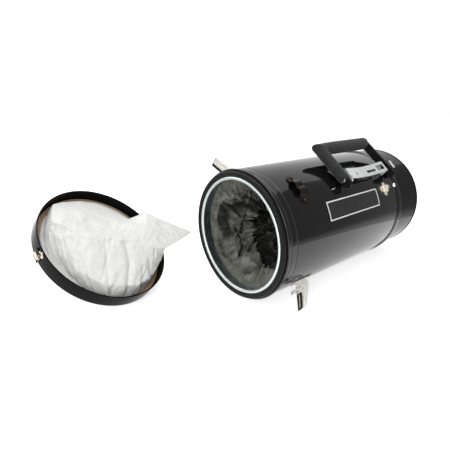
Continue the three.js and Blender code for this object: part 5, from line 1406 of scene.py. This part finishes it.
    def _base(self) -> None:
        """Flat round base of the bag, lying on the sealing ring round the spigot."""
        bm = turned([(24.0, self.foot, ), (46.0, self.foot), (68.0, self.foot), (90.0, self.foot)], 160, closed=False)
        bmesh.ops.subdivide_edges(bm, edges=bm.edges, cuts=3, use_grid_fill=True)
        flat = bm.loops.layers.uv.new("cloth")
        for face in bm.faces:
            for loop in face.loops:
                loop[flat].uv = (loop.vert.co.x * MM, loop.vert.co.z * MM)
        for vert in bm.verts:
            reach = math.hypot(vert.co.x, vert.co.z)
            angle = math.atan2(vert.co.z, vert.co.x)
            wave = noise.noise(Vector((vert.co.x / 17.0, vert.co.z / 17.0, 3.0)))
            vert.co.y += 0.7 * wave + 0.35 * math.sin(23 * angle) * max(reach - 70.0, 0.0) / 20.0
        base = Bench.piece("bag_base", bm, self.places.cap() @ AXIS_TO_CAP, PAPER, "bag", crease=180.0)
        thick = base.modifiers.new("thickness", "SOLIDIFY")
        thick.thickness = 0.4 * MM
        thick.offset = 0.0


@dataclass
class Inside:
    """Bulkhead, fan and motor, which stay as the frame has them."""

    finishes: dict[str, Finish] = field(default_factory=lambda: {
        "bulkhead": STEEL, "bulkhead_seal": RUBBER, "fan_case": ALUMINIUM, "impeller_front": ALUMINIUM,
        "impeller_rear": ALUMINIUM, "diffuser": STEEL, "shaft": STEEL, "shaft_nut": STEEL, "rotor_core": STEEL,
        "commutator": COPPER, "stator_core": STEEL, "field_coil_a": COPPER, "field_coil_b": COPPER,
        "brush_a": CARBON, "brush_b": CARBON, "motor_bracket": ALUMINIUM, "bearing_front": STEEL,
        "motor_frame": ALUMINIUM, "bearing_rear": STEEL,
    })

    def build(self) -> None:
        """Dresses each inner node."""
        for node, finish in self.finishes.items():
            Bench.dress(node, finish)
            LOG.info("%s: dressed as %s", node, finish.name)


# Studio


@dataclass
class Studio:
    """Floor, world, lamps and camera."""

    places: Places
    focal: float = 29.6
    eye: tuple[float, float, float] = (375.1, -324.7, 190.9)
    floor_lift: float = 0.7
    world_light: float = 0.45
    screen_turn: float = 40.0
    screen_away: float = 0.39
    screen_size: Point = (0.47, 0.65)
    screen_shade: float = 0.3

    def build(self) -> None:
        """Builds the surroundings."""
        self._floor()
        self._world()
        self._screen()
        self._lamps()
        self._camera()
        bpy.context.scene.view_settings.view_transform = "Standard"

    def _floor(self) -> None:
        """Pale floor that shows white to the camera and keeps a soft shadow."""
        bm = bmesh.new()
        bmesh.ops.create_grid(bm, x_segments=1, y_segments=1, size=6.0)
        mesh = bpy.data.meshes.new("floor")
        bm.to_mesh(mesh)
        bm.free()
        floor = bpy.data.objects.new("floor", mesh)
        bpy.context.scene.collection.objects.link(floor)
        material = bpy.data.materials.new("pale_floor")
        material.use_nodes = True
        tree = material.node_tree
        shader = next(n for n in tree.nodes if n.type == "BSDF_PRINCIPLED")
        shader.inputs["Base Color"].default_value = (0.9, 0.9, 0.9, 1.0)
        shader.inputs["Roughness"].default_value = 0.9
        shader.inputs["Specular IOR Level"].default_value = 0.0
        shader.inputs["Emission Color"].default_value = (1.0, 1.0, 1.0, 1.0)
        lift = tree.nodes.new("ShaderNodeMath")
        lift.operation = "MULTIPLY"
        lift.inputs[1].default_value = self.floor_lift
        tree.links.new(self._seen(tree), lift.inputs[0])
        tree.links.new(lift.outputs["Value"], shader.inputs["Emission Strength"])
        mesh.materials.append(material)

    @staticmethod
    def _seen(tree: bpy.types.NodeTree) -> bpy.types.NodeSocket:
        """Adds a value that is one for camera, glossy and transmission rays, and returns it."""
        rays = tree.nodes.new("ShaderNodeLightPath")
        value = rays.outputs["Is Camera Ray"]
        for name in ("Is Glossy Ray", "Is Transmission Ray"):
            either = tree.nodes.new("ShaderNodeMath")
            either.operation = "MAXIMUM"
            tree.links.new(value, either.inputs[0])
            tree.links.new(rays.outputs[name], either.inputs[1])
            value = either.outputs["Value"]
        return value

    def _world(self) -> None:
        """World that shows white and is plain soft light to the object."""
        world = bpy.data.worlds.new("studio")
        bpy.context.scene.world = world
        world.use_nodes = True
        tree = world.node_tree
        shade = next(n for n in tree.nodes if n.type == "BACKGROUND")
        level = tree.nodes.new("ShaderNodeMapRange")
        level.inputs["To Min"].default_value = self.world_light
        level.inputs["To Max"].default_value = 1.0
        tree.links.new(self._seen(tree), level.inputs["Value"])
        tree.links.new(level.outputs["Result"], shade.inputs["Strength"])
        shade.inputs["Color"].default_value = (1.0, 1.0, 1.0, 1.0)

    def _screen(self) -> None:
        """Dark screen behind on the right, paler towards the floor, which only gloss sees."""
        bm = bmesh.new()
        bmesh.ops.create_grid(bm, x_segments=1, y_segments=1, size=0.5)
        a = math.radians(self.screen_turn)
        ahead = Vector((math.sin(a), math.cos(a), 0.0))
        spot = Vector((0.06, 0.06, self.screen_size[1] / 2 + 0.001)) + ahead * self.screen_away
        side = ahead.cross(Vector((0.0, 0.0, 1.0)))
        turn = Matrix((side, Vector((0.0, 0.0, 1.0)), -ahead)).transposed().to_4x4()
        bm.transform(Matrix.Translation(spot) @ turn @ Matrix.Diagonal((*self.screen_size, 1.0, 1.0)))
        mesh = bpy.data.meshes.new("screen")
        bm.to_mesh(mesh)
        bm.free()
        thing = bpy.data.objects.new("screen", mesh)
        bpy.context.scene.collection.objects.link(thing)
        thing.visible_camera = False
        thing.visible_diffuse = False
        thing.visible_shadow = False
        material = bpy.data.materials.new("screen_grey")
        material.use_nodes = True
        tree = material.node_tree
        shader = next(n for n in tree.nodes if n.type == "BSDF_PRINCIPLED")
        shader.inputs["Base Color"].default_value = (0.0, 0.0, 0.0, 1.0)
        shader.inputs["Specular IOR Level"].default_value = 0.0
        shader.inputs["Emission Color"].default_value = (1.0, 1.0, 1.0, 1.0)
        height = tree.nodes.new("ShaderNodeSeparateXYZ")
        tree.links.new(tree.nodes.new("ShaderNodeTexCoord").outputs["Object"], height.inputs["Vector"])
        fade = tree.nodes.new("ShaderNodeMapRange")
        fade.interpolation_type = "SMOOTHSTEP"
        fade.inputs["From Max"].default_value = 0.065
        fade.inputs["To Min"].default_value = 0.9
        fade.inputs["To Max"].default_value = self.screen_shade
        tree.links.new(height.outputs["Z"], fade.inputs["Value"])
        tree.links.new(fade.outputs["Result"], shader.inputs["Emission Strength"])
        mesh.materials.append(material)

    def _lamps(self) -> None:
        """Large soft lamps above, in front and to the left."""
        for name, place, aim, size, power in (
            ("overhead", (0.1, 0.2, 1.9), (0.05, 0.0, 0.1), (1.6, 1.6), 18.0),
            ("left", (-1.6, -0.9, 1.2), (0.0, 0.0, 0.1), (1.2, 1.2), 10.0),
            ("front", (1.2, -1.7, 1.0), (0.0, 0.0, 0.1), (1.0, 1.0), 17.0),
        ):
            lamp = bpy.data.lights.new(name, "AREA")
            lamp.shape = "RECTANGLE"
            lamp.size, lamp.size_y = size
            lamp.energy = power
            thing = bpy.data.objects.new(name, lamp)
            thing.location = place
            thing.rotation_mode = "QUATERNION"
            thing.rotation_quaternion = (Vector(aim) - Vector(place)).to_track_quat("-Z", "Y")
            bpy.context.scene.collection.objects.link(thing)

    def _camera(self) -> None:
        """Camera at the photograph's place, set out from the canister's mouth."""
        lens = bpy.data.cameras.new("camera")
        lens.sensor_width = 36.0
        lens.lens = self.focal
        lens.clip_start = 0.01
        lens.clip_end = 50.0
        camera = bpy.data.objects.new("camera", lens)
        bpy.context.scene.collection.objects.link(camera)
        right = Vector((0.6317, 0.7752, 0.0)).normalized()
        ahead = Vector((-0.7316, 0.5963, -0.3304)).normalized()
        up = right.cross(ahead)
        turn = Matrix((right, up, -ahead)).transposed()
        camera.matrix_world = Matrix.Translation(self.places.mouth + Vector(self.eye) * MM) @ turn.to_4x4()
        bpy.context.scene.camera = camera


def main() -> None:
    """Builds the scene, piece by piece."""
    logging.basicConfig(level=logging.INFO, format="%(name)s: %(message)s")
    places = Places.read()
    assemblies = [
        Studio(places), Canister(places), Mouth(places), Latch(places, "lower", -41.0, 37.0),
        # The upper latch's dark patch and tip are painted shade.
        Latch(places, "upper", 139.0, 25.0, taper=0.05, dark=(-9.5, -3.6, 8.0, 40.5), dark_tip=True), Handle(places), Fittings(places), FrontCap(places), PaperBag(places), Inside(),
    ]
    for assembly in assemblies:
        LOG.info("building %s", type(assembly).__name__)
        assembly.build()
    bpy.context.view_layer.update()


if __name__ == "__main__":
    main()
